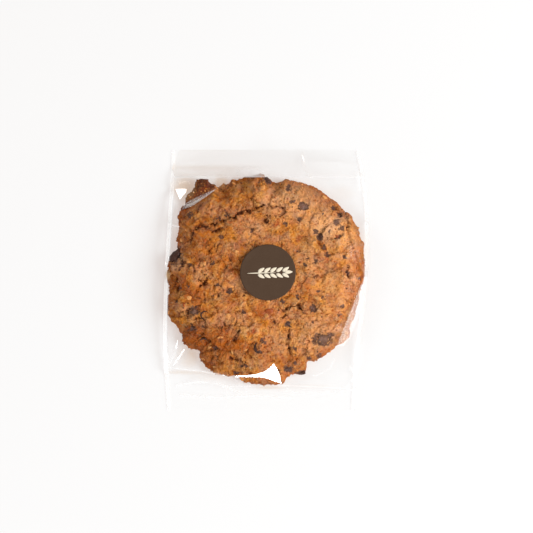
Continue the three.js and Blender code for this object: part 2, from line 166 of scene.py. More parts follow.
# Chocolate in the crust: x, y, length, width, turn in degrees and rise over the crust.
CHOCOLATE = [
    (21.2, 42.1, 5.6, 4.8, 10, 0.4), (-43.9, 37.1, 4.4, 3.6, 20, 0.4), (-52, 14.4, 10.8, 5.2, 70, 2.1),
    (-25.8, 25, 3.4, 2.8, 0, 0.3), (30.9, 24.4, 3.4, 4, 12, 0.45), (28.5, 28, 2.2, 3, 20, 0.3),
    (32.6, 18.9, 2.6, 3.2, 30, 0.3), (38.4, 41.6, 3.4, 1.6, -30, 0.2), (42.6, 37.4, 2.8, 2.6, 0, 0.2),
    (0.8, 57.4, 5, 4.4, -55, 0.7), (12.4, 53, 3, 4, 20, 0.2), (15.1, 45.1, 2.6, 1.9, 30, 0.2),
    (11.3, 32.4, 2.2, 2.5, 0, 0.35), (19.1, 34.8, 3, 2.3, -30, 0.3), (17.8, 16.6, 2.6, 2, -40, 0.25),
    (44.8, 13.2, 1.7, 2, 0, 0.3), (46.7, 4.3, 2, 2.6, 30, 0.3), (35.2, 14.4, 2.9, 2.9, 30, 0.25),
    (28.8, 10.9, 3.2, 2.2, 15, 0.35), (21.7, 8.8, 2.2, 1.5, -25, 0.3), (53.5, 0.9, 1.6, 1.4, 0, 0.3),
    (17.7, -9.4, 1.9, 2.6, 0, 0.2), (32.4, -10.4, 1.7, 1.9, 0, 0.15), (9, -12, 2.9, 1.8, -20, 0.4),
    (26.8, -16.3, 4.9, 4.6, 45, 0.25), (43.4, -15.2, 2, 2, 0, 0.15), (42.4, -20.4, 2.5, 1.8, -15, 0.15),
    (12, -25.3, 3.8, 2.4, 45, 0.45), (4.5, -24.2, 2.4, 1.8, 0, 0.2), (32.4, -34, 13.4, 7.4, 4, 0.2),
    (36.4, -31.8, 6.2, 3.6, 20, 0.15), (16.4, -39.3, 2.5, 2.5, 0, 0.25),
    (12.6, -51.2, 5.9, 4, -8, 0.45), (20.4, -53.4, 4.8, 2.4, 10, 0.7), (16.7, -47.6, 1.9, 1.8, 0, 0.4),
    (-2.4, -34.6, 2.4, 2.9, -20, 0.4), (-0.5, -36.2, 2.1, 2.4, 0, 0.4), (-3.6, -41.2, 2.4, 1.8, 0, 0.3),
    (-41, -17.6, 6.8, 5, 30, 0.3), (-21, -6.2, 2.6, 3, -40, 0.4), (-13, -18.2, 1.7, 2.8, 10, 0.3),
    (-51.5, -12.3, 1.7, 1.7, 0, 0.2), (-42.8, -27.4, 5.4, 3.8, 15, 0.2),
    (-28.8, -39.2, 3, 1.9, -15, 0.35), (-12.8, -49.2, 4.2, 1.6, -8, 0.3),
    (-17.3, -53.6, 2.6, 1.8, 0, 0.4), (-22.6, 37.2, 2.4, 2.3, 0, 0.35), (-27.5, 35.6, 2.1, 2, 0, 0.3),
    (-43.7, 8.5, 2.4, 1.8, 20, 0.3), (-30.6, 9.6, 2.4, 1.6, 40, 0.25), (37.2, -45.2, 4.6, 2.4, 40, 0.4),
    (29.9, -6.2, 1.8, 1.3, 0, 0.2), (-8, 28.6, 2.2, 1.7, 25, 0.25), (-36.2, -26.4, 2.2, 1.6, -30, 0.25),
    (24.6, -44.6, 2.2, 1.7, 20, 0.3), (33.6, 29.2, 1.5, 2.3, 10, 0.2), (36.2, 28.1, 1.4, 1.9, 0, 0.2),
    (39.7, 24, 2, 1.4, 20, 0.2), (41.9, 25.2, 2.4, 1.6, 30, 0.2), (43.2, 29.8, 3.6, 3, 0, 0.15),
    (40.2, 33.2, 4.6, 3.2, 30, 0.1), (31.4, -20.8, 1.5, 0.9, -20, 0.2), (26.9, -24.1, 1.1, 1.9, 0, 0.2),
    (30.6, -43.6, 3.6, 2.4, 35, 0.25), (-49.5, -4.6, 1.5, 1.8, 0, 0.2), (-44.3, -3.6, 1.4, 1.4, 0, 0.2),
    (-27.7, -2.7, 1.3, 1.7, 0, 0.2), (23.4, 12.4, 1.8, 1.2, 40, 0.2),
]

# Chips that melted into rings and crescents: x, y, radius of the bend, thickness, start and sweep.
CRESCENTS = [
    (-3.2, -38.4, 3.3, 0.85, 120, 165), (-35.1, -20.2, 2.3, 0.5, 20, 300),
    (-36.2, -36.6, 3, 0.55, 30, 110), (15, -24.6, 2.4, 0.5, 150, 120),
]

# Soft fruit lumps: x, y, length, width, turn.
FRUIT = [
    (2.2, -18.6, 5.4, 4, -20), (5.8, 32.4, 4.6, 3.6, 30), (-7.4, -29.4, 4.2, 3, 10),
    (-47, -13.5, 4, 3, 60), (40.6, 25, 3.6, 2.6, -30),
]

# Wide tones of the bake, mixed with painted light and shade: they make the crust lighter towards the top
# right and darker towards the left, as the light falls, and paint a shadow at the label's left. x, y, reach
# along X and Y, and how much darker (below 0) or lighter.
TONES_AND_PAINTED_LIGHT = [
    (-30, -36, 18, 12, -1.4), (-46, 0, 16, 36, -0.45), (-19, 9, 10, 8, -0.5), (-33, 18, 10, 16, -0.4),
    (-5, -18, 8, 6, -0.6), (13, -46, 8, 5, -0.6), (-22, 46, 12, 8, -0.35), (-36, 30, 12, 9, -0.6),
    (48, -18, 10, 14, -0.3), (30, 20, 5, 7, -0.25), (-9, -41, 14, 9, -0.6), (4, 20, 6, 4, -0.4),
    (-38, -8, 6, 5, -0.3), (28, 42, 28, 16, 0.75), (18, 51, 16, 7, 0.8), (36, 28, 14, 10, 0.8),
    (50, 20, 6, 12, 0.6), (46, -4, 8, 9, 0.3), (-5, 30, 9, 7, 0.6), (6, -34, 13, 8, 0.4),
    (30, -26, 12, 8, 0.3), (38, -38, 8, 6, 0.6), (24, 8, 7, 9, 0.5), (-14, -26, 8, 6, 0.5),
    (-38, 4, 6, 6.5, 0.7), (-12, 2, 4, 8, 0.25), (32, 4, 24, 50, 0.28), (30, 46, 18, 9, 0.3),
    (26, -34, 16, 14, 0.4), (-51, 10, 6, 6, 1.1), (-50, -17, 6, 5, 0.6), (-41, -8.5, 6, 4, -0.7),
    (-20, -8, 8, 5, -0.3), (-4, -17, 8, 5, -0.3), (13, -46, 9, 5, -0.3), (-43.5, -29, 5.5, 5, -0.6),
    (31, 20, 6, 8, -0.5), (14, -9, 7, 5, -0.5), (22, -18, 8, 5, -0.3), (51, 11, 6, 7, -0.8),
    (24, 42, 7, 6, -0.3), (14, 29, 7, 4, -0.4), (-14, 18, 6, 5, -0.3), (-14, -3, 5, 9, 0.6),
    (-50, -1, 4, 5, -1), (8, 46, 14, 8, 0.5), (24, 48, 8, 6, 0.3), (-14, 29, 6, 6, 0.4),
    (40, 30, 9, 7, 0.4), (-33, -17, 6, 5, -0.5), (-46, -19, 8, 6, 0.6), (-5, -45, 8, 5, 0.4),
    (41, -36, 8, 7, 0.7), (4, 44, 7, 9, 0.5), (24, 47, 7, 6, 0.85), (36, 29, 10, 6, 0.45),
    (-5, 29, 6, 6, 0.55), (-51, 11, 6, 4, 0.4), (-42, -18, 6, 6, 0.35), (33, -36, 8, 6, 0.4),
    (-20, 29, 8, 6, -0.4), (-23, 10, 6, 6, -0.25), (-52, 1, 5, 4, -0.75), (-23, -10, 6, 7, -0.45),
    (23, -8, 6, 5, -0.5), (-51, -8.5, 4, 4, 0.5), (-42, -8, 5, 4, -0.35), (23, 17, 6, 8, 0.5),
    (23, -45, 7, 5, 0.4), (-49.5, 36.5, 6, 5, -0.8), (-52, 10.5, 4, 4, 0.5), (-50, -9, 5, 4, 0.6),
    (-42, -17.5, 6, 5, 0.3), (35, -37, 10, 6, 0.65), (-14, -3, 5, 8, 0.45), (-14, -36, 6, 5, -0.25),
    (23, -36, 6, 5, 0.25), (32, 30, 8, 6, 0.25), (38, 1, 8, 5, 0.4), (-23, -26, 5, 5, 0.3),
    (32, -17, 5, 4, 0.3), (42, -12, 7, 9, 0.35), (-23, 47, 9, 6, -0.35), (-46, -34, 5, 6, -0.8),
    (-36, 8, 9, 7, 0.35),
]

# Reddish patches of the bake: x, y, reach along X and Y.
RED_PATCHES = [
    (1.5, -18.5, 6.5, 4), (6, 32.5, 3.4, 4.4), (-7.6, -29.6, 3.6, 2.6), (34.5, 15, 2.6, 9),
    (-14, 2, 4, 5), (-24, -30, 5, 3), (-38, 44, 5, 4), (22, -2, 4, 3), (36, -27, 2.4, 2.4),
    (-30, -48, 7, 3), (44, 46, 3, 4), (17, 24, 3, 3), (-46, -6, 3, 4),
]

DARKEST_LOBE = ((-37.0, 56.2), (-47.5, 49.0))  # a line along its middle

CHOSEN_SEED = 41


def smooth(low, high, value):
    """0 below low, 1 above high and a soft step between them."""
    t = np.clip((value - low) / (high - low), 0.0, 1.0)
    return t * t * (3.0 - 2.0 * t)


def bell(value, half):
    """1 at 0, falling away over about this half width on both sides."""
    return np.exp(-0.5 * (value / half) ** 2)


def lerp(a, b, t):
    """From a to b as t goes from 0 to 1."""
    return a + (b - a) * t


def to_segment(x, y, start, end):
    """Distance from points to a segment, and how far along it they are, from 0 to 1."""
    run = np.subtract(end, start)
    along = ((x - start[0]) * run[0] + (y - start[1]) * run[1]) / (run @ run)
    held = np.clip(along, 0.0, 1.0)
    return np.hypot(x - start[0] - held * run[0], y - start[1] - held * run[1]), along


def to_line(x, y, line):
    """Distance from points to a line of several pieces."""
    return np.min([to_segment(x, y, a, b)[0] for a, b in zip(line, line[1:])], axis=0)


def turned(x, y, degrees):
    """Places in the plan, turned about the origin."""
    c, s = math.cos(math.radians(degrees)), math.sin(math.radians(degrees))
    return x * c - y * s, x * s + y * c


def polar(radius, angle, height=0.0):
    """Points at this distance and in this direction from the origin."""
    return np.stack([radius * np.cos(angle), radius * np.sin(angle), 0 * angle + height], 1)


def in_plan(x, y):
    """Points at height 0, for the noise of what lies flat."""
    return np.stack([x, y, 0 * x], 1)


def of_area(x, y, at_x, at_y, reach_x, reach_y):
    """1 in the middle of an oval, falling softly to 0 a little past its reach."""
    return smooth(1.3, 0.2, np.hypot((x - at_x) / reach_x, (y - at_y) / reach_y))


class Grain:
    """Seeded noise for arrays of points: smooth, rough and cellular."""

    def __init__(self, seed):
        draw = np.random.default_rng(seed)
        self.order = draw.permutation(256)
        arrows = draw.normal(size=(256, 3))
        self.arrows = arrows / np.linalg.norm(arrows, axis=1, keepdims=True)
        self.spots = draw.random((256, 3))

    def _number(self, cell):
        """A number from 0 to 255 for each cell."""
        i, j, k = (cell & 255).T
        order = self.order
        return order[(order[(order[i] + j) & 255] + k) & 255]

    def soft(self, points, size):
        """Smooth noise, about -1 to 1, with features of this size."""
        place = points / size
        cell = np.floor(place).astype(int)
        part = place - cell
        fade = part**3 * (part * (part * 6.0 - 15.0) + 10.0)
        total = np.zeros(len(points))
        for corner in itertools.product((0, 1), repeat=3):
            arrow = self.arrows[self._number(cell + corner)]
            weight = np.where(corner, fade, 1.0 - fade).prod(axis=1)
            total += weight * ((part - corner) * arrow).sum(axis=1)
        return total * 1.7

    def rough(self, points, size, octaves=4, gain=0.55):
        """Layers of smooth noise, each half the size of the one before."""
        total = np.zeros(len(points))
        for i in range(octaves):
            total += gain**i * self.soft(points + 17.3 * i, size / 2**i)
        return total

    def cells(self, points, size):
        """Distances to the nearest and second nearest spot, the nearest's number, and the run from it."""
        place = points / size
        cell = np.floor(place).astype(int)
        near = np.full(len(points), 9.0)
        second = near.copy()
        number = np.zeros(len(points), int)
        offset = np.zeros_like(points)
        for step in itertools.product((-1, 0, 1), repeat=3):
            there = cell + step
            spot = self._number(there)
            run = place - there - self.spots[spot]
            away = np.linalg.norm(run, axis=1)
            closer = away < near
            second = np.where(closer, near, np.minimum(second, away))
            number = np.where(closer, spot, number)
            offset = np.where(closer[:, None], run, offset)
            near = np.minimum(near, away)
        return near, second, number, offset


# ---- Meshes


def new_mesh(name, points, faces):
    """A mesh of points in millimetres."""
    mesh = bpy.data.meshes.new(name)
    mesh.from_pydata((np.asarray(points) * MM).tolist(), [], faces)
    return mesh


def new_piece(name, points, groups, material):
    """A smooth-shaded piece of points in millimetres and groups of faces."""
    mesh = new_mesh(name, points, [face for group in groups for face in group.tolist()])
    mesh.validate()
    mesh.materials.append(material)
    return place_piece(mesh)


def place_piece(mesh):
    """Puts a mesh in the scene as a piece that rides on the root."""
    mesh.shade_smooth()
    piece = bpy.data.objects.new(mesh.name, mesh)
    bpy.context.scene.collection.objects.link(piece)
    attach(piece, "root")
    return piece


def add_values(piece, **values):
    """Stores a number for each vertex, for the piece's material to read, over an older one of its name."""
    layers = piece.data.attributes
    for name, numbers in values.items():
        if name in layers:
            layers.remove(layers[name])
        layer = layers.new(name, "FLOAT", "POINT")
        layer.data.foreach_set("value", np.asarray(numbers, np.float32))


def keep_under_film(piece):
    """Presses down what would poke through the label's film or the film's facets."""
    points = points_of(piece)
    ceiling = ceiling_of_film(*points[:, :2].T) + 0.2
    points[:, 2] = np.minimum(points[:, 2], np.maximum(ceiling, LEAST_CEILING))
    piece.data.vertices.foreach_set("co", (points * MM).astype(np.float32).ravel())
    piece.data.update()


def points_of(piece):
    """A piece's points in millimetres."""
    flat = np.empty(len(piece.data.vertices) * 3, np.float32)
    piece.data.vertices.foreach_get("co", flat)
    return flat.reshape(-1, 3).astype(float) / MM


def grid_faces(rows, columns):
    """Quads of a grid of (rows + 1) by (columns + 1) points, numbered row by row, facing up."""
    first = np.arange(rows)[:, None] * (columns + 1) + np.arange(columns)
    quads = np.stack([first, first + 1, first + columns + 2, first + columns + 1], axis=-1)
    return quads.reshape(-1, 4)


def grid_rim(rows, columns):
    """Numbers of a grid's edge points, anticlockwise from its first corner."""
    number = np.arange((rows + 1) * (columns + 1)).reshape(rows + 1, columns + 1)
    return np.concatenate([number[0, :-1], number[:-1, -1], number[-1, :0:-1], number[:0:-1, 0]])


def ring_walls(loops):
    """Quads between each loop of point numbers and the next."""
    return [np.stack([a, b, np.roll(b, -1), np.roll(a, -1)], 1) for a, b in zip(loops, loops[1:])]


def fan(middle, loop):
    """Triangles between one point and a loop of others."""
    return np.stack([np.full(len(loop), middle), loop, np.roll(loop, -1)], 1)


def halves(quads):
    """Two triangles for each quad."""
    return np.concatenate([quads[:, (0, 1, 2)], quads[:, (0, 2, 3)]])


def outward(points, groups):
    """Unit normals at the points of a mesh's quads, and nought at points that only triangles meet."""
    total = np.zeros_like(points)
    for faces in groups:
        if faces.shape[1] == 4:
            first, second, third, last = (points[column] for column in faces.T)
            flat = np.cross(third - first, last - second)
            for column in faces.T:
                np.add.at(total, column, flat)
    return total / np.maximum(np.linalg.norm(total, axis=1, keepdims=True), TINY)


# ---- The bag's plan and the cookie's form


def bag_sides(y):
    """X of the bag's left and right edge at places along its length."""
    share = np.clip(y / BAG_LENGTH + 0.5, 0.0, 1.0)
    skew = math.log(0.5) / math.log(BOW_PLACE)
    middle = lerp(BOTTOM_SHIFT, TOP_SHIFT, share)
    bow = (BAG_WIDTH - END_WIDTH) / 2
    left_bow = bow + lerp(TOP_SHIFT, BOTTOM_SHIFT, BOW_PLACE)
    right_bow = bow - lerp(BOTTOM_SHIFT, TOP_SHIFT, BOW_PLACE)
    left = middle - END_WIDTH / 2 - left_bow * np.sin(np.pi * (1.0 - share) ** skew)
    right = middle + END_WIDTH / 2 + right_bow * np.sin(np.pi * share**skew)
    return left, right


def weld_share(x, y):
    """Share of its usual width that the weld keeps, less where the crust pushes into the left one."""
    return np.where(x < 0.0, 1.0 - 0.7 * bell(y - 4.6, 4.0), 1.0)


def bag_reach(angle):
    """Distance from the origin to the bag's side edge in one direction, where the side is met."""
    reach = np.full_like(angle, 90.0)
    for _ in range(12):
        left, right = bag_sides(reach * np.sin(angle))
        side = np.where(np.cos(angle) > 0.0, right, -left)
        across = np.maximum(np.abs(np.cos(angle)), 1e-3)
        reach = np.minimum(side / across, BAG_LENGTH / 2 / np.maximum(np.abs(np.sin(angle)), 1e-3))
    return reach


def cookie_reach(angle, settings):
    """Radius of the cookie's lobed outline in each direction."""
    degrees = np.degrees(angle)
    reach = np.full_like(angle, settings.radius / MM)
    for at, rise, half, square in OUTLINE:
        away = np.abs((degrees - at + 180.0) % 360.0 - 180.0)
        reach += rise * np.exp(-0.5 * (away / half) ** square)
    ragged = 0.75 + 0.25 * smooth(0.5, -0.5, np.cos(angle - 0.5))
    reach += ragged * 0.75 * Grain(CHOSEN_SEED + 7).rough(polar(58.0, angle), 6.5, 4, 0.7)
    side = bag_reach(angle)
    return np.minimum(reach, side - (WELD + 0.2) * weld_share(side * np.cos(angle), side * np.sin(angle)))


def crust_top(inside, settings):
    """Height of the smooth crust this far in from the outline."""
    crown, rim = settings.crown / MM, settings.rim / MM
    fall = (1.0 - np.clip(inside / (settings.shoulder / MM), 0.0, 1.0)) ** 2.5
    return lerp(crown, rim, fall)


def disc_grid(cells):
    """A grid bent into a unit disc of even cells: distance from the middle, and direction."""
    step = np.linspace(-1.0, 1.0, cells + 1)
    a, b = (v.ravel() for v in np.meshgrid(step, step))
    wide = np.abs(a) > np.abs(b)
    reach = np.where(wide, a, b)
    with np.errstate(divide="ignore", invalid="ignore"):
        turn = np.where(wide, np.pi / 4 * b / a, np.pi / 2 - np.pi / 4 * a / b)
    turn = np.where(reach == 0.0, 0.0, turn)
    return np.abs(reach), np.arctan2(reach * np.sin(turn), reach * np.cos(turn))


def cookie_form(settings):
    """The smooth cookie, closed: its points, its faces, and each point's distance in from the rim."""
    cells = settings.cells
    reach, angle = disc_grid(cells)
    outline = cookie_reach(angle, settings)
    inside = outline * (1.0 - reach)
    top = polar(outline - inside, angle, crust_top(inside, settings))

    edge = grid_rim(cells, cells)
    around, widest = angle[edge], outline[edge]
    rim, tuck = settings.rim / MM, settings.tuck / MM
    drops = [math.pi / 2 * k / 9 for k in range(1, 10)]
    rings = [(widest - tuck * (1.0 - math.cos(drop)), rim * (1.0 - math.sin(drop))) for drop in drops]
    rings += [((widest - tuck) * share, 0.0) for share in (0.93, 0.8, 0.6, 0.35)]
    lower = [polar(radius, around, height) for radius, height in rings]

    count, each = len(top), len(edge)
    loops = [edge] + [count + k * each + np.arange(each) for k in range(len(rings))]
    under = fan(count + len(rings) * each, loops[-1][::-1])
    points = np.concatenate([top, *lower, [(0.0, 0.0, 0.0)]])
    depth = np.concatenate([inside, np.zeros(len(points) - count)])
    return points, [grid_faces(cells, cells), *ring_walls(loops), under], depth


def plates(points, grain, size, rise, tilt):
    """Height of little plates, each at its own level and slope, and nearness to their joints."""
    near, second, number, offset = grain.cells(points, size)
    draw = np.random.default_rng(int(1000 * size))
    level = draw.uniform(-rise, rise, 256)
    slope = draw.normal(0.0, tilt, (256, 2))
    height = level[number] + (slope[number] * offset[:, :2]).sum(axis=1) * size
    return height, bell(second - near, 0.35 / size)


def crags(points, grain):
    """Relief of the baked crust: its height over the smooth form, the painted shade of its cracks, joints
    and pits, and the heights of its flakes, which the crust's colour also uses for painted highlights and
    shade.
    """
    bent = points + np.stack([1.4 * grain.soft(points + shift, 5.0) for shift in (3.1, 51.7, 97.3)], 1)
    rough = smooth(-0.3, 0.4, grain.soft(points + 91.0, 21.0))
    swell = 0.6 * grain.soft(points, 27.0) + 0.5 * grain.soft(points + 40.0, 12.0)
    soft = 0.3 * grain.soft(bent + 8.0, 5.5) + 0.17 * grain.soft(bent + 18.0, 2.6)
    broad, joint = plates(bent, grain, 8.5, 0.3, 0.09)
    small, joint_small = plates(bent + 30.0, grain, 3.3, 0.2, 0.12)
    tiny, joint_tiny = plates(points + 61.0 + 0.3 * bent, grain, 1.35, 0.12, 0.12)
    open_here = smooth(0.1, 0.5, grain.soft(points + 11.0, 9.0))
    open_small = smooth(0.15, 0.55, grain.soft(points + 31.0, 6.0)) * lerp(0.3, 1.0, rough)
    fissure = bell(grain.soft(bent, 5.2), 0.035) * smooth(0.2, 0.5, grain.soft(points + 77.0, 8.0))
    near, _, number, _ = grain.cells(points + 13.0, 3.6)
    pit = 0.8 * bell(near, 0.15) * (number < lerp(38.0, 17.0, smooth(-25.0, 15.0, points[:, 0])))
    height = swell + soft + broad + small * lerp(0.5, 1.1, rough) + tiny
    height += 0.1 * grain.rough(points, 1.6, 2, 0.6)
    height -= 0.5 * joint * open_here + 0.3 * joint_small * open_small + 0.7 * fissure + 0.75 * pit
    rugged = lerp(1.0, 0.45, smooth(-15.0, 20.0, points[:, 0] - 0.5 * points[:, 1]))
    rugged = rugged * lerp(1.0, 0.35, of_area(points[:, 0], points[:, 1], 34.0, 38.0, 30.0, 22.0))
    flake = 2.2 * small + 2.4 * tiny + 0.5 * broad + 0.25 * grain.soft(bent + 71.0, 2.0)
    # dark is painted shade in the joints, fissures and pits. It is strongest towards the left and faintest
    # towards the right and at the top right.
    dark = rugged * np.maximum.reduce([0.6 * joint * open_here, 0.45 * joint_small * open_small,
                                       0.1 * joint_tiny, 0.7 * fissure, pit])
    return height - 0.2, dark, flake


def crack_lines(points, grain):
    """How deep each point lies in one of the named cracks, in millimetres, and how much painted shade it
    gets there.
    """
    x = points[:, 0] + 0.8 * grain.rough(points + 5.0, 3.4, 3)
    y = points[:, 1] + 0.8 * grain.rough(points + 9.0, 3.4, 3)
    depth = np.zeros(len(points))
    dark = np.zeros(len(points))
    ragged = lerp(0.2, 1.25, smooth(-0.5, 0.5, grain.soft(points + 63.0, 2.2)))
    faint = smooth(-0.55, 0.1, grain.soft(points + 83.0, 3.4))
    for line, deep, half in CRACKS:
        cut = bell(to_line(x, y, line), half * ragged) * lerp(0.35, 1.0, faint)
        depth = np.maximum(depth, deep * cut)
        dark = np.maximum(dark, cut)
    return depth, dark


def fold_steps(points, grain):
    """Height that the edges of overlapping flakes add, the painted shadow under them, and the painted
    highlight on their rims.
    """
    x = points[:, 0] + 0.9 * grain.rough(points + 45.0, 5.0, 3)
    y = points[:, 1] + 0.9 * grain.rough(points + 55.0, 5.0, 3)
    height, dark, edge = (np.zeros(len(points)) for _ in range(3))
    for line, rise in FOLDS:
        away = np.full(len(points), 99.0)
        side = np.zeros(len(points))
        for a, b in zip(line, line[1:]):
            near, _ = to_segment(x, y, a, b)
            left = np.sign((b[0] - a[0]) * (y - a[1]) - (b[1] - a[1]) * (x - a[0]))
            side = np.where(near < away, left, side)
            away = np.minimum(away, near)
        span = side * away
        height += rise * bell(away, 1.6) * (smooth(-0.35, 0.35, span) - 0.5)
        dark = np.maximum(dark, bell(span + 0.5, 0.38) * min(1.0, rise))
        edge = np.maximum(edge, bell(span - 0.55, 0.4) * rise)
    return height, dark, edge


class Crust:
    """The baked surface, for placing things on it."""

    def __init__(self, piece):
        self.tree = BVHTree.FromObject(piece, bpy.context.evaluated_depsgraph_get())

    def at(self, x, y):
        """Point and normal of the crust's top at a place in the plan, or just inside its rim."""
        for inwards in np.linspace(1.0, 0.9, 12):
            above = Vector((x * inwards * MM, y * inwards * MM, 0.1))
            point, normal, _, _ = self.tree.ray_cast(above, Vector((0, 0, -1)))
            if point is not None:
                return np.array(point) / MM, np.array(normal)
        raise RuntimeError(f"nothing of the crust lies at {x:.1f}, {y:.1f}")

    def carry(self, lump, x, y, turn):
        """A lump's points, moved from the origin to lie on the crust at a place in the plan."""
        return stand_on(lump, *self.at(x, y), turn)


def round_ball(rings, sides):
    """Points and triangles of a unit ball."""
    tilt = np.repeat(np.pi * np.arange(1, rings) / rings, sides)
    turn = np.tile(2 * np.pi * np.arange(sides) / sides, rings - 1)
    belt = np.stack([np.sin(tilt) * np.cos(turn), np.sin(tilt) * np.sin(turn), np.cos(tilt)], 1)
    points = np.concatenate([[UP], belt, [-UP]])
    loops = [1 + k * sides + np.arange(sides) for k in range(rings - 1)]
    caps = [fan(0, loops[0]), fan(len(points) - 1, loops[-1][::-1])]
    return points, np.concatenate([*caps, *map(halves, ring_walls(loops))])


def stand_on(points, place, normal, turn):
    """Moves points that lie flat at the origin to a place on a slope, turned by so many degrees."""
    across = np.cross(UP, normal)
    steep = np.linalg.norm(across)
    across = across / steep if steep > 1e-6 else np.array([1.0, 0.0, 0.0])
    forward = np.cross(normal, across)
    heading = math.degrees(math.atan2(across[1], across[0]))
    spun = np.column_stack([*turned(points[:, 0], points[:, 1], turn - heading), points[:, 2]])
    return spun @ np.stack([across, forward, normal]) + place


def join(parts):
    """Several (points, faces) as one."""
    starts = np.cumsum([0] + [len(points) for points, _ in parts])
    return (
        np.concatenate([points for points, _ in parts]),
        np.concatenate([faces + start for (_, faces), start in zip(parts, starts)]),
    )


# ---- Film

# The label's print, a sprig of oats: x and y from the label's centre, length, width and turn of each
# grain, the stem first.
SPRIG_TURN = 2.0  # degrees that the whole sprig is turned by
SPRIG_STEP = 3.5  # from one pair of grains to the next
SPRIG_PAIRS = [
    (-3.8 + SPRIG_STEP * pair, 0.12 * pair + 1.75 * side - 0.35, 4.4, 1.9, 32.0 * side + SPRIG_TURN)
    for pair in range(5) for side in (-1, 1)
]
SPRIG = [(-3.6, -0.25, 17.0, 0.55, SPRIG_TURN), *SPRIG_PAIRS, (11.8, 0.3, 4.6, 2.0, SPRIG_TURN)]

# Places where the taut film comes down: on the seams, lifted beside the cookie, and on the table.
FILM_HOLDS = [
    (-58.9, -6, 4.3), (-59.2, -24, 4), (-58.9, -38, 3.3), (-58.2, -50.5, 2.6), (-57.2, 16, 3.9),
    (-56, 34, 3.2), (-55.3, 50, 2.2), (-54, 63, 1.4), (57.6, 6, 4.3), (57.7, 22, 4.2), (56.8, 38, 3.3),
    (55, 52, 2.4), (53.4, 64.5, 1.3), (56.3, -14, 3.6), (54.4, -34, 2.7), (52.6, -50, 1.6),
    (-45, 66, 0.9), (0, 66.8, 0.9), (44, 66, 0.9), (46, -62.4, 0.9), (0, -63, 0.9), (-22, -62.6, 0.9),
    (-46, -60, 1),
]
TABLE_FILM = 0.55  # height of the film's front sheet where it lies flat


class Facet(NamedTuple):
    """A flat part of the taut film: its outline, and the slopes along X and Y of the plane it lies in."""

    outline: list
    anchor: tuple  # a point of the plane
    slopes: tuple
    # The film's gloss, and a painted highlight: the film glows where this is set.
    shine: float
    # Milky haze, which on the facets is a painted reflection of the lights.
    milk: float

    def level(self, x, y):
        """Height of the plane."""
        at_x, at_y, height = self.anchor
        return height + self.slopes[0] * (x - at_x) + self.slopes[1] * (y - at_y)


class Crease(NamedTuple):
    """A crease of the film outside the cookie."""

    line: list
    rise: float
    half: float  # half its width
    # Gloss along the crease, and a painted highlight that glows.
    shine: float
    # Milkiness along the crease, a painted highlight line.
    milk: float


# Each facet is tilted to mirror one of the lights. On top of that mirroring, their glow and milky sheen are
# painted highlights and reflections.
FACETS = [
    Facet([(4.1, -47.7), (6, -50.3), (7.8, -54.8), (8.9, -59.6), (4.5, -58.2), (0.5, -56.6), (-3.6,
        -55.8), (-12.6, -55.7), (-17.9, -55.7), (-17.9, -55.1), (-11.8, -54.8), (-5.6, -54.1), (-1.2,
        -52.5), (2.1, -50.3), (3.7, -48.3)], (4.1, -47.7, 15.3), (0.047, 0.588), 1, 0.25),
    Facet([(-52.5, 52.7), (-46, 52.5), (-46.4, 50.7), (-48.2, 48.7), (-49.8, 46.6), (-51.3, 49.9)],
        (-49.8, 46.6, 4.4), (0.537, -0.139), 1, 0.3),
    Facet([(-51.5, -34.8), (-50.9, -35.2), (-52.3, -43), (-55.9, -48.8), (-56.3, -48.5), (-53.4, -42.8)],
        (-53, -42.6, 4.6), (0.537, -0.139), 0.35, 0.3),
    Facet([(-47.6, -39.7), (-47.1, -40.2), (-50, -45), (-53.4, -49.4), (-53.8, -49.1), (-50.6, -44.2)],
        (-50.2, -44.3, 5.2), (0.537, -0.139), 0.4, 0.3),
    Facet([(56.5, 1.7), (54.1, -3.5), (50, -13.9), (46.2, -23.2), (42.2, -33.6), (40.7, -37.7), (44.1,
        -37.8), (48.2, -33.3), (50.1, -28.3), (52.4, -22.3), (54.2, -16.1), (55.6, -8.8), (57, -2.5)],
        (49.5, -17.9, 9.9), (-0.5, 0.149), 0, 0.17),
    Facet([(-48.6, 40.6), (-45.5, 41.6), (-41.9, 43.1), (-36.5, 46.6), (-32, 49.6), (-28.4, 52.6), (-32.7,
        50.9), (-36.6, 49.2), (-40.4, 47.5), (-45, 45.2), (-48, 43.2)], (-38.9, 46.5, 9.4), (0.45, -0.1),
        0.006, 0.14),
    Facet([(-46.8, 41.4), (-41.9, 43.1), (-36.5, 46.6), (-32, 49.6), (-28.4, 52.6), (-32.3, 50.4), (-36.9,
        47.6), (-42.2, 44.9), (-46.6, 43)], (-38.9, 46.5, 9.4), (0.45, -0.1), 0.014, 0.25),
]

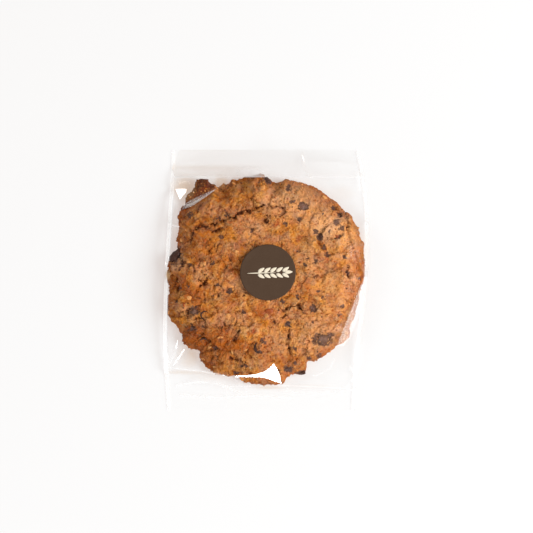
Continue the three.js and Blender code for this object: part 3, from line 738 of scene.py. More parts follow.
# The bright lines along the creases are painted highlights.
CREASES = [
    Crease([(-57.6, -50.4), (-53.1, -50.9), (-38.9, -52.4), (-31.6, -53.4), (-24.6, -54.8)], 0.25, 0.3,
        0.6, 0.7),
    Crease([(-52, -61), (-38, -58.6), (-27, -60.4), (-14, -66)], 0.3, 0.6, 0.1, 0.4),
    Crease([(-50, -66.5), (-30, -68), (-6, -66.8), (14, -68.4)], 0.3, 0.6, 0.1, 0.4),
    Crease([(8, -64.2), (26, -65.4), (44, -64.6)], 0.3, 0.5, 0.1, 0.4),
    Crease([(-25.7, -61.9), (-10, -61.2), (12, -61), (30, -61.9), (53, -63.4)], 0.5, 0.5, 0.5, 0.3),
    Crease([(-24, -55), (-17.5, -57.5), (-12.6, -61), (-11.5, -64.5)], 0.35, 0.6, 0.3, 0.2),
    Crease([(-23.6, -62.5), (-23.2, -68), (-23.6, -74)], 0.3, 0.6, 0.1, 0.1),
    Crease([(28.3, -55.1), (33.5, -52.7), (36.9, -50.5), (38.9, -45.6)], 0.5, 0.6, 0.35, 0.2),
    Crease([(40, -66), (50, -59)], 0.35, 0.8, 0.2, 0.1),
    Crease([(30, -68), (44, -64.5)], 0.3, 0.9, 0.2, 0.1),
    Crease([(20.9, 72), (21.6, 66), (24, 60), (26.5, 57)], 0.6, 0.7, 0.25, 0.15),
    Crease([(52.5, 63), (53.6, 58), (54, 52)], 0.5, 0.7, 0.5, 0.2),
    Crease([(-51, 30.7), (-53.6, 31.6), (-55.8, 33.4)], 0.5, 0.5, 0.7, 0.3),
    Crease([(48.5, -50), (50.5, -54.5), (49, -60)], 0.4, 0.7, 0.5, 0.2),
]

# Where more than one layer of film, or the crust seen in it, tints it warm, and painted shade: the tint
# beside the cookie's left side and top left, under the flap's left corner and along the crease at the lower
# left stands in for shade. x, y, reach along X and Y, and how strong the tint is.
TINTS_AND_PAINTED_SHADE = [
    (-47.5, 53, 7.4, 8, 0.38), (-26, 56.5, 4.2, 4.4, 0.3), (-45, -44, 6.5, 7, 0.22),
    (-46, -53.4, 14, 1.3, 0.2), (-34, -56, 10, 2.4, 0.08), (2, -62, 9, 1.1, 0.3),
    (-40.5, 44.5, 8, 3.5, 0.1), (52, -10, 2.4, 7, 0.12), (48, -21, 2.8, 7, 0.18),
    (44.6, -31, 3, 6, 0.2), (-56.8, 2.8, 1.7, 3, 0.7), (24, -61.5, 16, 1.6, 0.06), (44, 50, 8, 5, 0.06),
    (56, 20, 3, 10, 0.08),
]


def to_outline(x, y, outline):
    """Distance from points to a closed outline, nought for points within it."""
    loop = [*outline, outline[0]]
    crossings = np.zeros(len(x), int)
    for (ax, ay), (bx, by) in zip(loop, loop[1:]):
        if ay != by:
            meets = (ay > y) != (by > y)
            crossings += meets & (x < ax + (y - ay) / (by - ay) * (bx - ax))
    return np.where(crossings % 2 == 1, 0.0, to_line(x, y, loop))


def ceiling_of_film(x, y):
    """Greatest height that the label and the film's facets leave the crust."""
    away = np.hypot(x - LABEL_CENTRE[0], y - LABEL_CENTRE[1])
    level = LABEL_FILM - 0.75 + 0.16 * np.clip(away - LABEL_RADIUS - 1.0, 0, None)
    for facet in FACETS:
        away = to_outline(x, y, facet.outline)
        under = facet.level(x, y) - 0.55 + 0.3 * away + 0.12 * away**2
        level = np.where(away < 9.0, np.minimum(level, under), level)
    return level


def upper_planes(points):
    """Slopes and level of each upper face of the points' hull, as rows of z = a x + b y + c."""
    shell = bmesh.new()
    for point in points:
        shell.verts.new(point)
    bmesh.ops.convex_hull(shell, input=shell.verts)
    middle = points.mean(axis=0)
    planes = []
    for face in shell.faces:
        normal = np.array(face.normal)
        corner = np.array(face.verts[0].co)
        if normal @ (corner - middle) < 0.0:
            normal = -normal
        if normal[2] > 0.02:
            a, b = -normal[0] / normal[2], -normal[1] / normal[2]
            planes.append((a, b, corner[2] - a * corner[0] - b * corner[1]))
    shell.free()
    return np.unique(np.round(planes, 5), axis=0)


def soft_least(values, ease):
    """The least of the rows, with the joins between them rounded."""
    least = values.min(axis=0)
    return least - ease * np.log(np.exp((least - values) / ease).sum(axis=0))


class Levels:
    """Greatest or least heights of points over the squares of the plan."""

    EDGE, CELL = 80.0, 0.8

    def __init__(self, points, sign, around=0):
        row, column = self._square(points[:, 0], points[:, 1])
        count = int(2 * self.EDGE / self.CELL)
        level = np.full((count, count), -1e6)
        np.maximum.at(level, (row, column), sign * points[:, 2])
        wide = level
        for shift in itertools.product(range(-around, around + 1), repeat=2):
            wide = np.maximum(wide, np.roll(level, shift, (0, 1)))
        self.level = sign * wide

    def _square(self, x, y):
        """Row and column of the squares that points fall in."""
        last = int(2 * self.EDGE / self.CELL) - 1
        return tuple(np.clip((value + self.EDGE) / self.CELL, 0, last).astype(int) for value in (y, x))

    def at(self, x, y):
        """Height kept for the squares that points fall in."""
        return self.level[self._square(x, y)]

    def clearing(self, taut, slope, rounds):
        """How far a sheet rises over its taut form to clear these heights, falling gently round each."""
        middles = (np.arange(len(self.level)) + 0.5) * self.CELL - self.EDGE
        x, y = (grid.ravel() for grid in np.meshgrid(middles, middles))
        lift = np.clip(self.level + 0.06 - taut(x, y).reshape(self.level.shape), 0.0, 4.0)
        for _ in range(rounds):
            for shift in itertools.product((-1, 0, 1), repeat=2):
                lower = slope * self.CELL * math.hypot(*shift)
                lift = np.maximum(lift, np.roll(lift, shift, (0, 1)) - lower)
        for axis in (0, 1):
            lift = 0.5 * lift + 0.25 * (np.roll(lift, 1, axis) + np.roll(lift, -1, axis))
        return lift

    def between(self, values, x, y):
        """Values of the squares at points between their middles."""
        across = np.clip((x + self.EDGE) / self.CELL - 0.5, 0.0, len(values) - 1.001)
        along = np.clip((y + self.EDGE) / self.CELL - 0.5, 0.0, len(values) - 1.001)
        i, j = along.astype(int), across.astype(int)
        u, v = across - j, along - i
        near, far = (lerp(values[row, j], values[row, j + 1], u) for row in (i, i + 1))
        return lerp(near, far, v)


class FilmForm:
    """The taut front sheet and the back sheet, as heights over the plan."""

    def __init__(self, contents, settings):
        self.settings = settings
        self.grain = Grain(CHOSEN_SEED + 3)
        tops = contents[contents[:, 2] > 3.0]
        coarse = np.round(tops[:, :2] / 1.2).astype(int)
        order = np.lexsort((-tops[:, 2], coarse[:, 1], coarse[:, 0]))
        coarse = coarse[order]
        first = np.append(True, np.any(np.diff(coarse, axis=0) != 0, axis=1))
        high = tops[order][first] + (0.0, 0.0, settings.clearance / MM)
        high = high[high[:, 2] < ceiling_of_film(high[:, 0], high[:, 1]) + 0.3]
        self.planes = upper_planes(np.concatenate([high, np.array(FILM_HOLDS)]))
        self.floor = Levels(tops, 1.0)
        self.ceiling = Levels(contents, -1.0, 1)
        self.lift = self.floor.clearing(self.bare_front, 0.3, 10)

    def taut(self, x, y):
        """Height of film drawn tight over the highest points."""
        a, b, c = self.planes.T
        return soft_least(a[:, None] * x + b[:, None] * y + c[:, None], self.settings.crease_ease / MM)

    def bare_front(self, x, y):
        """Height of the front sheet before it is lifted over single lumps."""
        place = in_plan(x, y)
        flat = TABLE_FILM + 0.15 * self.grain.soft(place, 14.0)
        height = -soft_least(np.stack([-self.taut(x, y), -flat]), 0.16)
        height += 0.1 * self.grain.soft(place + 5.0, 11.0) + 0.05 * self.grain.soft(place, 4.5)
        for crease in CREASES:
            height += crease.rise * np.exp(-to_line(x, y, crease.line) / crease.half)
        for facet in FACETS:
            height = lerp(facet.level(x, y), height, smooth(0.0, 4.0, to_outline(x, y, facet.outline)))
        away = np.hypot(x - LABEL_CENTRE[0], y - LABEL_CENTRE[1])
        return lerp(LABEL_FILM, height, smooth(LABEL_RADIUS + 0.5, LABEL_RADIUS + 6.0, away))

    def front(self, x, y):
        """Height of the front sheet, which stays flat in its facets and under the label."""
        apart = np.min([to_outline(x, y, facet.outline) for facet in FACETS], axis=0)
        apart = np.minimum(apart, np.hypot(x - LABEL_CENTRE[0], y - LABEL_CENTRE[1]) - LABEL_RADIUS)
        return self.bare_front(x, y) + self.floor.between(self.lift, x, y) * smooth(0.0, 1.5, apart)

    def back(self, x, y, seam, gap):
        """Height of the back sheet, which rises to the seam's height over the last stretch."""
        rise = np.clip(1.0 - gap / 10.0, 0.0, 1.0) ** 1.7
        height = lerp(0.06, np.maximum(seam - 0.05, 0.06), rise)
        return np.clip(np.minimum(height, self.ceiling.at(x, y) - 0.1), 0.04, None)

    def look(self, x, y, facets):
        """Shine, milkiness and warm tint of the front sheet, with or without those of its facets. The glow
        of the shine, the milkiness of the facets and creases, and part of the tint are painted highlights,
        reflections and shade.
        """
        shine, milk, tint = (np.zeros(len(x)) for _ in range(3))
        ragged = 0.8 + 0.5 * self.grain.soft(in_plan(x, y) + 70.0, 3.0)
        for facet in FACETS if facets else ():
            inside = to_outline(x, y, facet.outline) == 0.0
            shine = np.where(inside, facet.shine, shine)
            milk = np.where(inside, facet.milk, milk)
        for crease in CREASES:
            near = bell(to_line(x, y, crease.line), 0.6 * crease.half) * ragged
            shine = np.maximum(shine, crease.shine * near)
            milk = np.maximum(milk, crease.milk * near)
        for at_x, at_y, reach_x, reach_y, strength in TINTS_AND_PAINTED_SHADE:
            away = np.hypot((x - at_x) / reach_x, (y - at_y) / reach_y)
            tint = np.maximum(tint, strength * smooth(1.25, 0.35, away) * (0.75 + 0.2 * ragged))
        return shine, milk, tint


def beside(line, offset):
    """A line moved sideways."""
    line = np.array(line)
    run = np.gradient(line, axis=0)
    return line + offset * np.stack([-run[:, 1], run[:, 0]], 1) / np.hypot(*run.T)[:, None]


def side_lines(step):
    """The bag's left and right edge as points, from its bottom end up."""
    y = np.linspace(-BAG_LENGTH / 2, BAG_LENGTH / 2, int(BAG_LENGTH / step) + 1)
    left, right = bag_sides(y)
    return np.stack([left, y], 1), np.stack([right, y], 1)


def gap_to_side(x, y):
    """Distance in from the nearer side edge, as if its weld had the usual width."""
    left, right = bag_sides(y)
    return np.minimum(x - left, right - x) / weld_share(x, y)


def sheet_plan(outline, lines, cell):
    """X, Y and triangles of points that fill an outline, with edges along the given lines, and its rim."""
    points = [tuple(point) for point in outline]
    edges = []
    fixed = list(outline)
    for line in lines:
        first = len(points)
        parts = []
        for a, b in zip(line, line[1:]):
            count = max(1, round(math.dist(a, b) / cell))
            parts += [lerp(np.array(a), np.array(b), k / count) for k in range(count)]
        parts.append(np.array(line[-1]))
        points += [tuple(point) for point in parts]
        fixed += parts
        edges += [(first + k, first + k + 1) for k in range(len(parts) - 1)]
    fixed = np.array(fixed)
    low, high = fixed.min(axis=0), fixed.max(axis=0)
    rows = np.arange(low[1] + cell * 0.8, high[1] - cell * 0.5, cell * 0.866)
    grid = np.array([(x, y) for k, y in enumerate(rows)
                     for x in np.arange(low[0] + cell * (0.5 + 0.5 * (k % 2)), high[0], cell)])
    square = 2.0 * cell
    taken = {}
    for point in fixed:
        taken.setdefault(tuple(np.floor(point / square).astype(int)), []).append(point)
    loop = [*map(tuple, outline), tuple(outline[0])]
    for point in grid[to_outline(grid[:, 0], grid[:, 1], loop[:-1]) == 0.0]:
        i, j = np.floor(point / square).astype(int)
        near = [p for di in (-1, 0, 1) for dj in (-1, 0, 1) for p in taken.get((i + di, j + dj), ())]
        if not near or np.min(np.hypot(*(np.array(near) - point).T)) > 0.55 * cell:
            points.append(tuple(point))
    whole = [list(range(len(outline)))]
    filled = delaunay_2d_cdt([Vector(point) for point in points], edges, whole, 1, 1e-4)
    plan, triangles = np.array([tuple(point) for point in filled[0]]), np.array(filled[2])
    a, b, c = (plan[triangles[:, k]] for k in range(3))
    clockwise = np.cross(b - a, c - a) < 0.0
    triangles[clockwise] = triangles[clockwise][:, ::-1]
    rim = to_line(plan[:, 0], plan[:, 1], loop) < 1e-3
    triangles = triangles[~rim[triangles].all(axis=1)]
    return plan[:, 0], plan[:, 1], triangles, rim


def closed_sheets(name, plan, upper, lower, material, values, facets=None):
    """A closed piece of film of two sheets over one plan, which meet at the points marked as its rim.

    Each value is a pair of arrays, for the points of the upper and of the lower sheet. Facets hold
    for each triangle of the upper sheet whether it lies in a facet, and the values there.
    """
    x, y, triangles, rim = plan
    count = len(x)
    merged = np.where(rim, np.arange(count), np.arange(count) + count)
    points = np.concatenate([np.stack([x, y, upper], 1), np.stack([x, y, lower], 1)])
    faces = np.concatenate([triangles, merged[triangles[:, ::-1]]])
    used = np.isin(np.arange(2 * count), faces)
    renumber = np.cumsum(used) - 1
    piece = new_piece(name, points[used], [renumber[faces]], material)
    mesh = piece.data
    if len(mesh.polygons) != len(faces):
        raise RuntimeError(f"{name} has {len(faces) - len(mesh.polygons)} faces that fall together")
    mesh.set_sharp_from_angle(angle=math.radians(24.0))
    for key, pair in values.items():
        numbers = np.concatenate(pair)[faces]
        if facets is not None:
            inside, there = facets
            numbers[: len(triangles)][inside] = there[key][inside, None]
        layer = mesh.attributes.new(key, "FLOAT", "CORNER")
        layer.data.foreach_set("value", numbers.astype(np.float32).ravel())
    if facets is not None:
        sharpen_facets(mesh, facets[0], len(triangles))
    return piece


def sharpen_facets(mesh, inside, count):
    """Marks the edges between a facet and what is beside it as sharp."""
    within = np.zeros(len(mesh.polygons), int)
    within[:count] = inside
    edges = np.empty(len(mesh.loops), np.int32)
    mesh.loops.foreach_get("edge_index", edges)
    total = np.zeros(len(mesh.edges), int)
    np.add.at(total, edges, np.repeat(within, 3))
    sharp = np.empty(len(mesh.edges), bool)
    layer = mesh.attributes["sharp_edge"].data
    layer.foreach_get("value", sharp)
    layer.foreach_set("value", sharp | (total == 1))


def sheet_outline(left, right, cell):
    """The outline of a sheet between its left and right edge, both given from the bottom end up."""
    count = int(END_WIDTH / cell)
    bottom, top = np.linspace(left[0], right[0], count), np.linspace(right[-1], left[-1], count)
    return np.concatenate([bottom[:-1], right[:-1], top[:-1], left[:0:-1]])


def bag_plan(cell):
    """The plan of the bag's sheets, with edges along its welds, facets and creases."""
    left, right = side_lines(cell)
    lines = []
    for edge, way in ((left[1:-1], 1.0), (right[1:-1], -1.0)):
        lines += [edge + np.outer(way * inset * weld_share(*edge.T), (1.0, 0.0)) for inset in WELD_LINES]
    lines += [[*facet.outline, facet.outline[0]] for facet in FACETS]
    lines += [beside(crease.line, side * crease.half) for crease in CREASES for side in (-1, 0, 1)]
    return sheet_plan(sheet_outline(left, right, cell), lines, cell)


def weld_cover(gap):
    """1 in the weld and 0 past it."""
    return smooth(WELD + 0.4, WELD - 0.2, gap)


def bag_heights(form, x, y, rim):
    """Heights of the front and back sheet, which lie together in the welds and meet at the rim."""
    gap = gap_to_side(x, y)
    end = BAG_LENGTH / 2 - np.abs(y)
    left, right = bag_sides(y)
    seam_x = np.where(x < 0.0, left + WELD * weld_share(x, y), right - WELD)
    seam = np.maximum(form.front(seam_x, y), TABLE_FILM)
    ripple = 0.3 * form.grain.soft(np.stack([0 * x, y, np.sign(x)], 1), 6.0) * smooth(1.0, 2.6, seam)
    seam = seam + ripple
    weld = weld_cover(gap)
    upper = lerp(form.front(x, y) + ripple * smooth(8.0, 0.0, gap), seam, weld)
    upper = upper + 0.12 * bell(gap - WELD, 0.4)
    lower = np.where(weld > 0.5, seam - 0.12, np.minimum(form.back(x, y, seam, gap), upper - 0.1))
    upper = np.where(rim & (end < 1e-3), np.clip(upper, 0.3, 0.6), upper)
    lower = lerp(lower, np.minimum(upper, 0.3), smooth(3.0, 0.0, end))
    return upper, np.minimum(lower, upper - 0.05)


def bag_values(form, x, y, upper):
    """Shine, milkiness and tint of the bag's sheets, outside the facets. The welds are milky, the bright
    lines along their edges are painted highlights, and a faint painted sheen lies over the crust towards
    the right.
    """
    shine, milk, tint = form.look(x, y, False)
    gap = gap_to_side(x, y)
    line = bell(gap - WELD, 0.38) + 0.5 * bell(gap - 0.15, 0.35)
    line *= lerp(1.0, 0.3, smooth(-5.0, 5.0, x)) * lerp(0.12, 1.0, smooth(59.0, 48.0, np.abs(y)))
    milk = np.clip(np.maximum(milk, 0.75 * line + 0.05 * weld_cover(gap)), 0, 1)
    # Painted sheen where the film touches the crust, growing towards the right.
    touching = smooth(0.9, 0.0, upper - form.floor.at(x, y))
    milk = np.maximum(milk, 0.06 * smooth(5.0, 50.0, x) * touching)
    none = np.zeros(len(x))
    return {
        "shine": (np.maximum(shine, 0.6 * line), none),
        "milk": (milk, 0.3 * weld_cover(gap)),
        "tint": (tint, none),
    }


def facet_values(form, x, y, triangles):
    """Which triangles of the front sheet lie in a facet, and the values there."""
    middle = x[triangles].mean(axis=1), y[triangles].mean(axis=1)
    inside = np.any([to_outline(*middle, facet.outline) == 0.0 for facet in FACETS], axis=0)
    return inside, dict(zip(("shine", "milk", "tint"), form.look(*middle, True)))


def flap_share(y):
    """How far along the flap a place is, from 0 at its free edge to 1 at the fold."""
    return (y - FLAP_FREE) / (FLAP_FOLD - FLAP_FREE)


def flap_plan(cell):
    """The plan of the flap, whose left side leans in at both ends."""
    y = np.linspace(FLAP_FREE, FLAP_FOLD, int(FLAP_DEPTH / cell) + 1)
    left, right = bag_sides(y)
    left = left + FLAP_INSET + SLANT * smooth(0.3, 1.0, flap_share(y))
    left = left + FREE_SLANT * smooth(FLAP_CREASE, 0.0, flap_share(y))
    left, right = np.stack([left, y], 1), np.stack([right - FLAP_INSET, y], 1)
    return sheet_plan(sheet_outline(left, right, cell), [PLEAT], cell)


def flap_height(form, grain, x, y):
    """Height of the flap, which lifts off the bag at its free edge, its crease and its pleat."""
    share = flap_share(y)
    lift = 0.26 + 0.3 * smooth(0.5, 0.0, share) * (0.7 + 0.7 * grain.soft(in_plan(x, y), 12.0))
    lift += 0.5 * np.exp(-to_line(x, y, PLEAT) / 0.8) + 0.25 * bell(share - FLAP_CREASE, 0.07)
    return form.front(x, y) + np.clip(lift, 0.2, None)


def flap_values(grain, x, y):
    """Shine, milkiness and tint of the flap's two sheets. Painted highlights run along its free edge and
    over a patch near its middle. Its warm tint is darker towards the left, with painted shade in a band
    along its crease and along the pleat.
    """
    share = flap_share(y)
    above = y - FLAP_FREE - 0.15
    free_edge_highlight = bell(above, 0.4) * smooth(-20.0, -34.0, x) + 0.25 * bell(above, 0.5)
    side = bell(x - bag_sides(y)[0] - FLAP_INSET, 0.6)
    milk = np.clip(0.75 * free_edge_highlight + 0.2 * side + 0.4 * of_area(x, y, -9.0, 62.0, 12.0, 4.0), 0, 1)
    fade = smooth(8.0, -36.0, x + 6.0 * grain.soft(in_plan(x, y) + 4.0, 16.0))
    # The flap's layers tint it warm; the band along the crease is painted shade.
    layer_tint_and_crease_shade = 0.028 + 0.055 * smooth(FLAP_CREASE + 0.04, FLAP_CREASE - 0.06, share)
    layer_tint_and_crease_shade += 0.1 * bell(share - FLAP_CREASE, 0.05)
    tint = fade * layer_tint_and_crease_shade + 0.05 * bell(to_line(x, y, PLEAT), 0.5)
    return {"shine": (0.2 * free_edge_highlight, 0 * x), "milk": (milk, 0 * x), "tint": (tint, 0 * x)}


def all_contents():
    """Points of everything that the film covers."""
    names = ("cookie_crust", "chocolate_chips", "fruit_lumps", "oat_flakes", "dough_crumbs")
    return np.concatenate([points_of(bpy.data.objects[name]) for name in names])


# ---- Materials


class Wire:
    """A value in a material. Its arithmetic adds Math nodes."""

    def __init__(self, finish, socket):
        self.finish = finish
        self.socket = socket

    def _math(self, operation, *values):
        inputs = dict(enumerate(values))
        return self.finish.add("ShaderNodeMath", {"operation": operation}, inputs)

    def __add__(self, other):
        return self._math("ADD", self, other)

    __radd__ = __add__

    def __sub__(self, other):
        return self._math("SUBTRACT", self, other)

    def __rsub__(self, other):
        return self._math("SUBTRACT", other, self)

    def __mul__(self, other):
        return self._math("MULTIPLY", self, other)

    __rmul__ = __mul__

    def __truediv__(self, other):
        return self._math("DIVIDE", self, other)

    def __pow__(self, other):
        return self._math("POWER", self, other)

    def held(self):
        """The value kept between 0 and 1."""
        return self.finish.add("ShaderNodeMath", {"operation": "ADD", "use_clamp": True}, {0: self, 1: 0.0})


class Finish:
    """A material made of nodes."""

    def __init__(self, name):
        self.material = bpy.data.materials.new(name)
        self.material.use_nodes = True
        self.tree = self.material.node_tree
        self.tree.nodes.clear()

    def add(self, kind, settings=None, inputs=None, output=0):
        """Adds a node, its settings first, and returns one of its outputs as a Wire."""
        node = self.tree.nodes.new(kind)
        for name, value in (settings or {}).items():
            setattr(node, name, value)
        for name, value in (inputs or {}).items():
            socket = node.inputs[name]
            if isinstance(value, Wire):
                self.tree.links.new(value.socket, socket)
            else:
                socket.default_value = colour(value) if socket.type == "RGBA" else value
        return Wire(self, node.outputs[output]) if node.outputs else None

    def place(self):
        """The place on the object that is being coloured."""
        return self.add("ShaderNodeTexCoord", output="Object")

    def value(self, name):
        """A number stored on the piece's vertices."""
        return self.add("ShaderNodeAttribute", {"attribute_name": name}, output="Fac")

    def noise(self, place, size, detail=3.0, rough=0.55, warp=0.0):
        """Noise from 0 to 1 with features of this size in millimetres."""
        inputs = {"Vector": place, "Scale": 1.0 / (size * MM), "Detail": detail, "Roughness": rough}
        return self.add("ShaderNodeTexNoise", None, {**inputs, "Distortion": warp}, output="Fac")

    def cells(self, place, size, warp):
        """One level from 0 to 1 for each flake of this size in millimetres, with ragged outlines."""
        each = 1.0 / (size * MM)
        shift = self.add("ShaderNodeTexNoise", None, {"Vector": place, "Scale": each / 0.4}, "Color")
        parts = {0: shift, 1: (warp / each,) * 3, 2: place}
        bent = self.add("ShaderNodeVectorMath", {"operation": "MULTIPLY_ADD"}, parts)
        spots = self.add("ShaderNodeTexVoronoi", None, {"Vector": bent, "Scale": each}, "Color")
        return self.add("ShaderNodeSeparateColor", None, {"Color": spots}, "Red")

    def step(self, value, low, high):
        """0 below low, 1 above high and a soft step between them."""
        inputs = {"Value": value, "From Min": low, "From Max": high}
        return self.add("ShaderNodeMapRange", {"interpolation_type": "SMOOTHSTEP"}, inputs)

    def blend(self, share, first, second, way="MIX"):
        """Colour between two, or the second laid over the first in another way."""
        inputs = {0: share, 6: first, 7: second}
        return self.add("ShaderNodeMix", {"data_type": "RGBA", "blend_type": way}, inputs, output=2)

    def cover(self, first, layers):
        """A colour with others laid over it in turn, each by its own share."""
        for share, over in layers:
            first = self.blend(share, first, over)
        return first

    def vary(self, first, hue, vivid, bright):
        """A colour with its hue turned from 0.5 and its vividness and brightness scaled."""
        inputs = {"Hue": hue, "Saturation": vivid, "Value": bright, "Color": first}
        return self.add("ShaderNodeHueSaturation", None, inputs)

    def unsigned(self, value):
        """The value without its sign."""
        return self.add("ShaderNodeMath", {"operation": "ABSOLUTE"}, {0: value})

    def bump(self, height, depth, strength):
        """The surface's direction, with this height in millimetres added to it."""
        inputs = {"Height": height, "Distance": depth * MM, "Strength": strength}
        return self.add("ShaderNodeBump", None, inputs)

    def principled(self, inputs):
        """The Principled shader with these sockets set."""
        sockets = {name.replace("_", " "): value for name, value in inputs.items()}
        return self.add("ShaderNodeBsdfPrincipled", None, sockets)

    def surface(self, **inputs):
        """The material, with the Principled shader as its surface."""
        self.add("ShaderNodeOutputMaterial", None, {"Surface": self.principled(inputs)})
        return self.material

    def film(self, share, **inputs):
        """The material, as a clear surface with this share of the Principled shader over it."""
        clear = self.add("ShaderNodeBsdfTransparent", None, {"Color": (0.9995, 0.999, 0.9985)})
        mixed = self.add("ShaderNodeMixShader", None, {0: share, 1: clear, 2: self.principled(inputs)})
        self.add("ShaderNodeOutputMaterial", None, {"Surface": mixed})
        return self.material


def colour(values):
    """Red, green and blue with full cover."""
    return (*values, 1.0)


def crust_finish(settings):
    """Baked dough: mottled golden brown flakes, darker towards its rim, with painted shade in its cracks
    and low places, painted highlights on its raised flakes, and painted light that makes it lighter towards
    the top right.
    """
    f = Finish("baked_crust")
    place = f.place()
    wide = f.noise(place, 15.0, 3.0, 0.6, 0.5)
    patch = f.noise(place, 4.6, 5.0, 0.66, 0.7)
    fleck = f.noise(place, 1.5, 4.0, 0.65, 0.6)
    grit = f.noise(place, 0.5, 3.0, 0.6)
    flake = f.cells(place, 3.3, 0.8)
    chip = f.cells(place, 1.4, 0.5)
    toast, dark, cocoa, shade = (f.value(name) for name in ("toast", "dark", "cocoa", "shade"))
    tone, red, relief = f.value("tone"), f.value("red"), f.value("flake")
    hue = f.noise(place, 7.0, 4.0, 0.62, 0.6)

    # The flakes' heights paint light and shade: the high ones get a painted highlight in the pale colour,
    # and the low ones painted shade in the burnt colour.
    uneven = relief + (fleck - 0.5) * 1.2
    folds = f.noise(place, 2.6, 4.0, 0.62, 0.9) - 0.5
    # Fine fold lines: painted shade along each and a painted highlight just beside it.
    vein_shade = f.step(f.unsigned(folds), 0.024, 0.004) * f.step(patch, 0.56, 0.42)
    ridge_highlight = f.step(f.unsigned(folds - 0.045), 0.03, 0.008) * f.step(patch, 0.58, 0.44)
    speck = f.step(chip, 0.95, 0.98) * f.step(fleck, 0.52, 0.42)
    dough = f.cover(f.blend(f.step(patch, 0.36, 0.62), settings.brown, settings.golden), [
        (f.step(flake, 0.66, 0.95) * 0.25, settings.pale),
        (f.step(uneven, 0.1, 0.7) * 0.42, settings.pale),
        (f.step(wide + tone * 0.1, 0.46, 0.6) * 0.6, settings.rosy),
        (f.step(chip, 0.6, 0.95) * f.step(fleck, 0.42, 0.6) * 0.5, settings.pale),
        (f.step(hue, 0.5, 0.64) * 0.35, settings.honey),
        (f.step(hue, 0.47, 0.36) * 0.35, settings.rosy),
        (f.step(red + (patch - 0.5) * 1.2, 0.3, 0.85) * 0.6, settings.red),
        (f.step(flake, 0.25, 0.05) * 0.2, settings.burnt),
        (f.step(uneven, -0.2, -0.8) * 0.42, settings.burnt),
        (f.step(fleck, 0.46, 0.32) * 0.5, settings.burnt),
        # Painted light and shade from tone: the next layer paints light where tone is high, towards the top
        # right, and the one after paints shade where it is low, towards the left.
        ((tone * 0.6 + (wide - 0.5) * 0.3).held() * 0.85, settings.painted_light),
        ((tone * -0.85 + (patch - 0.5) * 0.5).held() * 0.8, settings.toasted),
        ((shade * 0.8).held(), settings.toasted),
        ((toast + (patch - 0.5) * 1.1).held() * 0.8, settings.toasted),
        (f.step(toast, 0.8, 1.5) * 0.85, settings.scorched),
        (ridge_highlight * 0.45, settings.pale),
        (vein_shade * (0.4 - tone * 0.25).held(), settings.burnt),
        # Painted shade in cracks, joints, pits and under flake edges, with the dark specks.
        ((dark * 1.15 + speck * 0.6 - (fleck - 0.5) * 0.3 * dark).held() * 0.93, settings.crevice_shade),
    ])
    dull = f.step(f.noise(place, 5.6, 5.0, 0.68, 0.5) + (fleck - 0.5) * 0.25, 0.46, 0.62)
    dough = f.vary(dough, 0.5 + (hue - 0.5) * 0.012, 1.03 - dull * 0.08, 1.035 - dull * 0.13)
    chocolate = f.cover(settings.chocolate, [
        (f.step(patch, 0.4, 0.65) * 0.35, settings.bloom),
        (f.step(cocoa, 0.8, 1.3) * 0.85, settings.bloom),
        (f.step(fleck, 0.5, 0.4) * 0.4, settings.scorched),
    ])
    melted = f.step(cocoa * (1.0 + (patch - 0.5) * 2.0 + (fleck - 0.5) * 2.8), 0.42, 0.74)
    dough = f.blend(melted * 0.92, dough, chocolate)
    dough = f.blend(f.step(grit, 0.6, 0.36) * 0.3, dough, (0.62, 0.62, 0.62), "MULTIPLY")
    height = grit * 0.6 + fleck + flake * 0.2 + ridge_highlight * 0.3 - vein_shade * 0.4
    return f.surface(
        Base_Color=dough,
        Roughness=0.55 + f.step(fleck, 0.3, 0.7) * 0.25,
        Normal=f.bump(height, 0.6, 0.8),
        Specular_IOR_Level=0.15,
    )


def chocolate_finish(settings):
    """Dark chocolate with a greyish bloom."""
    f = Finish("dark_chocolate")
    place = f.place()
    cloud = f.noise(place, 2.6, 4.0, 0.6, 0.3)
    fine = f.noise(place, 0.5, 3.0)
    tone = f.blend(f.step(cloud, 0.45, 0.75) * 0.6, settings.chocolate, settings.bloom)
    return f.surface(
        Base_Color=tone,
        Roughness=0.42 + cloud * 0.3,
        Normal=f.bump(fine + cloud, 0.3, 0.4),
        Specular_IOR_Level=0.12,
    )


def fruit_finish(settings):
    """Soft reddish fruit, glossy where it is wet."""
    f = Finish("soft_fruit")
    place = f.place()
    cloud = f.noise(place, 2.0, 3.0, 0.6, 0.6)
    tone = f.blend(f.step(cloud, 0.35, 0.7), settings.fruit, settings.red)
    return f.surface(
        Base_Color=tone,
        Roughness=0.35 + cloud * 0.3,
        Normal=f.bump(cloud, 0.5, 0.5),
        Specular_IOR_Level=0.2,
    )


def oat_finish(settings):
    """Toasted oat flakes, with fine lengthwise streaks."""
    f = Finish("toasted_oats")
    place = f.place()
    cloud = f.noise(place, 3.0, 3.0, 0.6)
    streak = f.noise(place, 0.6, 3.0, 0.6)
    tone = f.blend(f.step(cloud, 0.38, 0.66), settings.golden, settings.oats)
    tone = f.blend(f.step(streak, 0.42, 0.66) * 0.7, tone, settings.brown)
    return f.surface(Base_Color=tone, Roughness=0.6 + streak * 0.2, Normal=f.bump(streak, 0.2, 0.5))


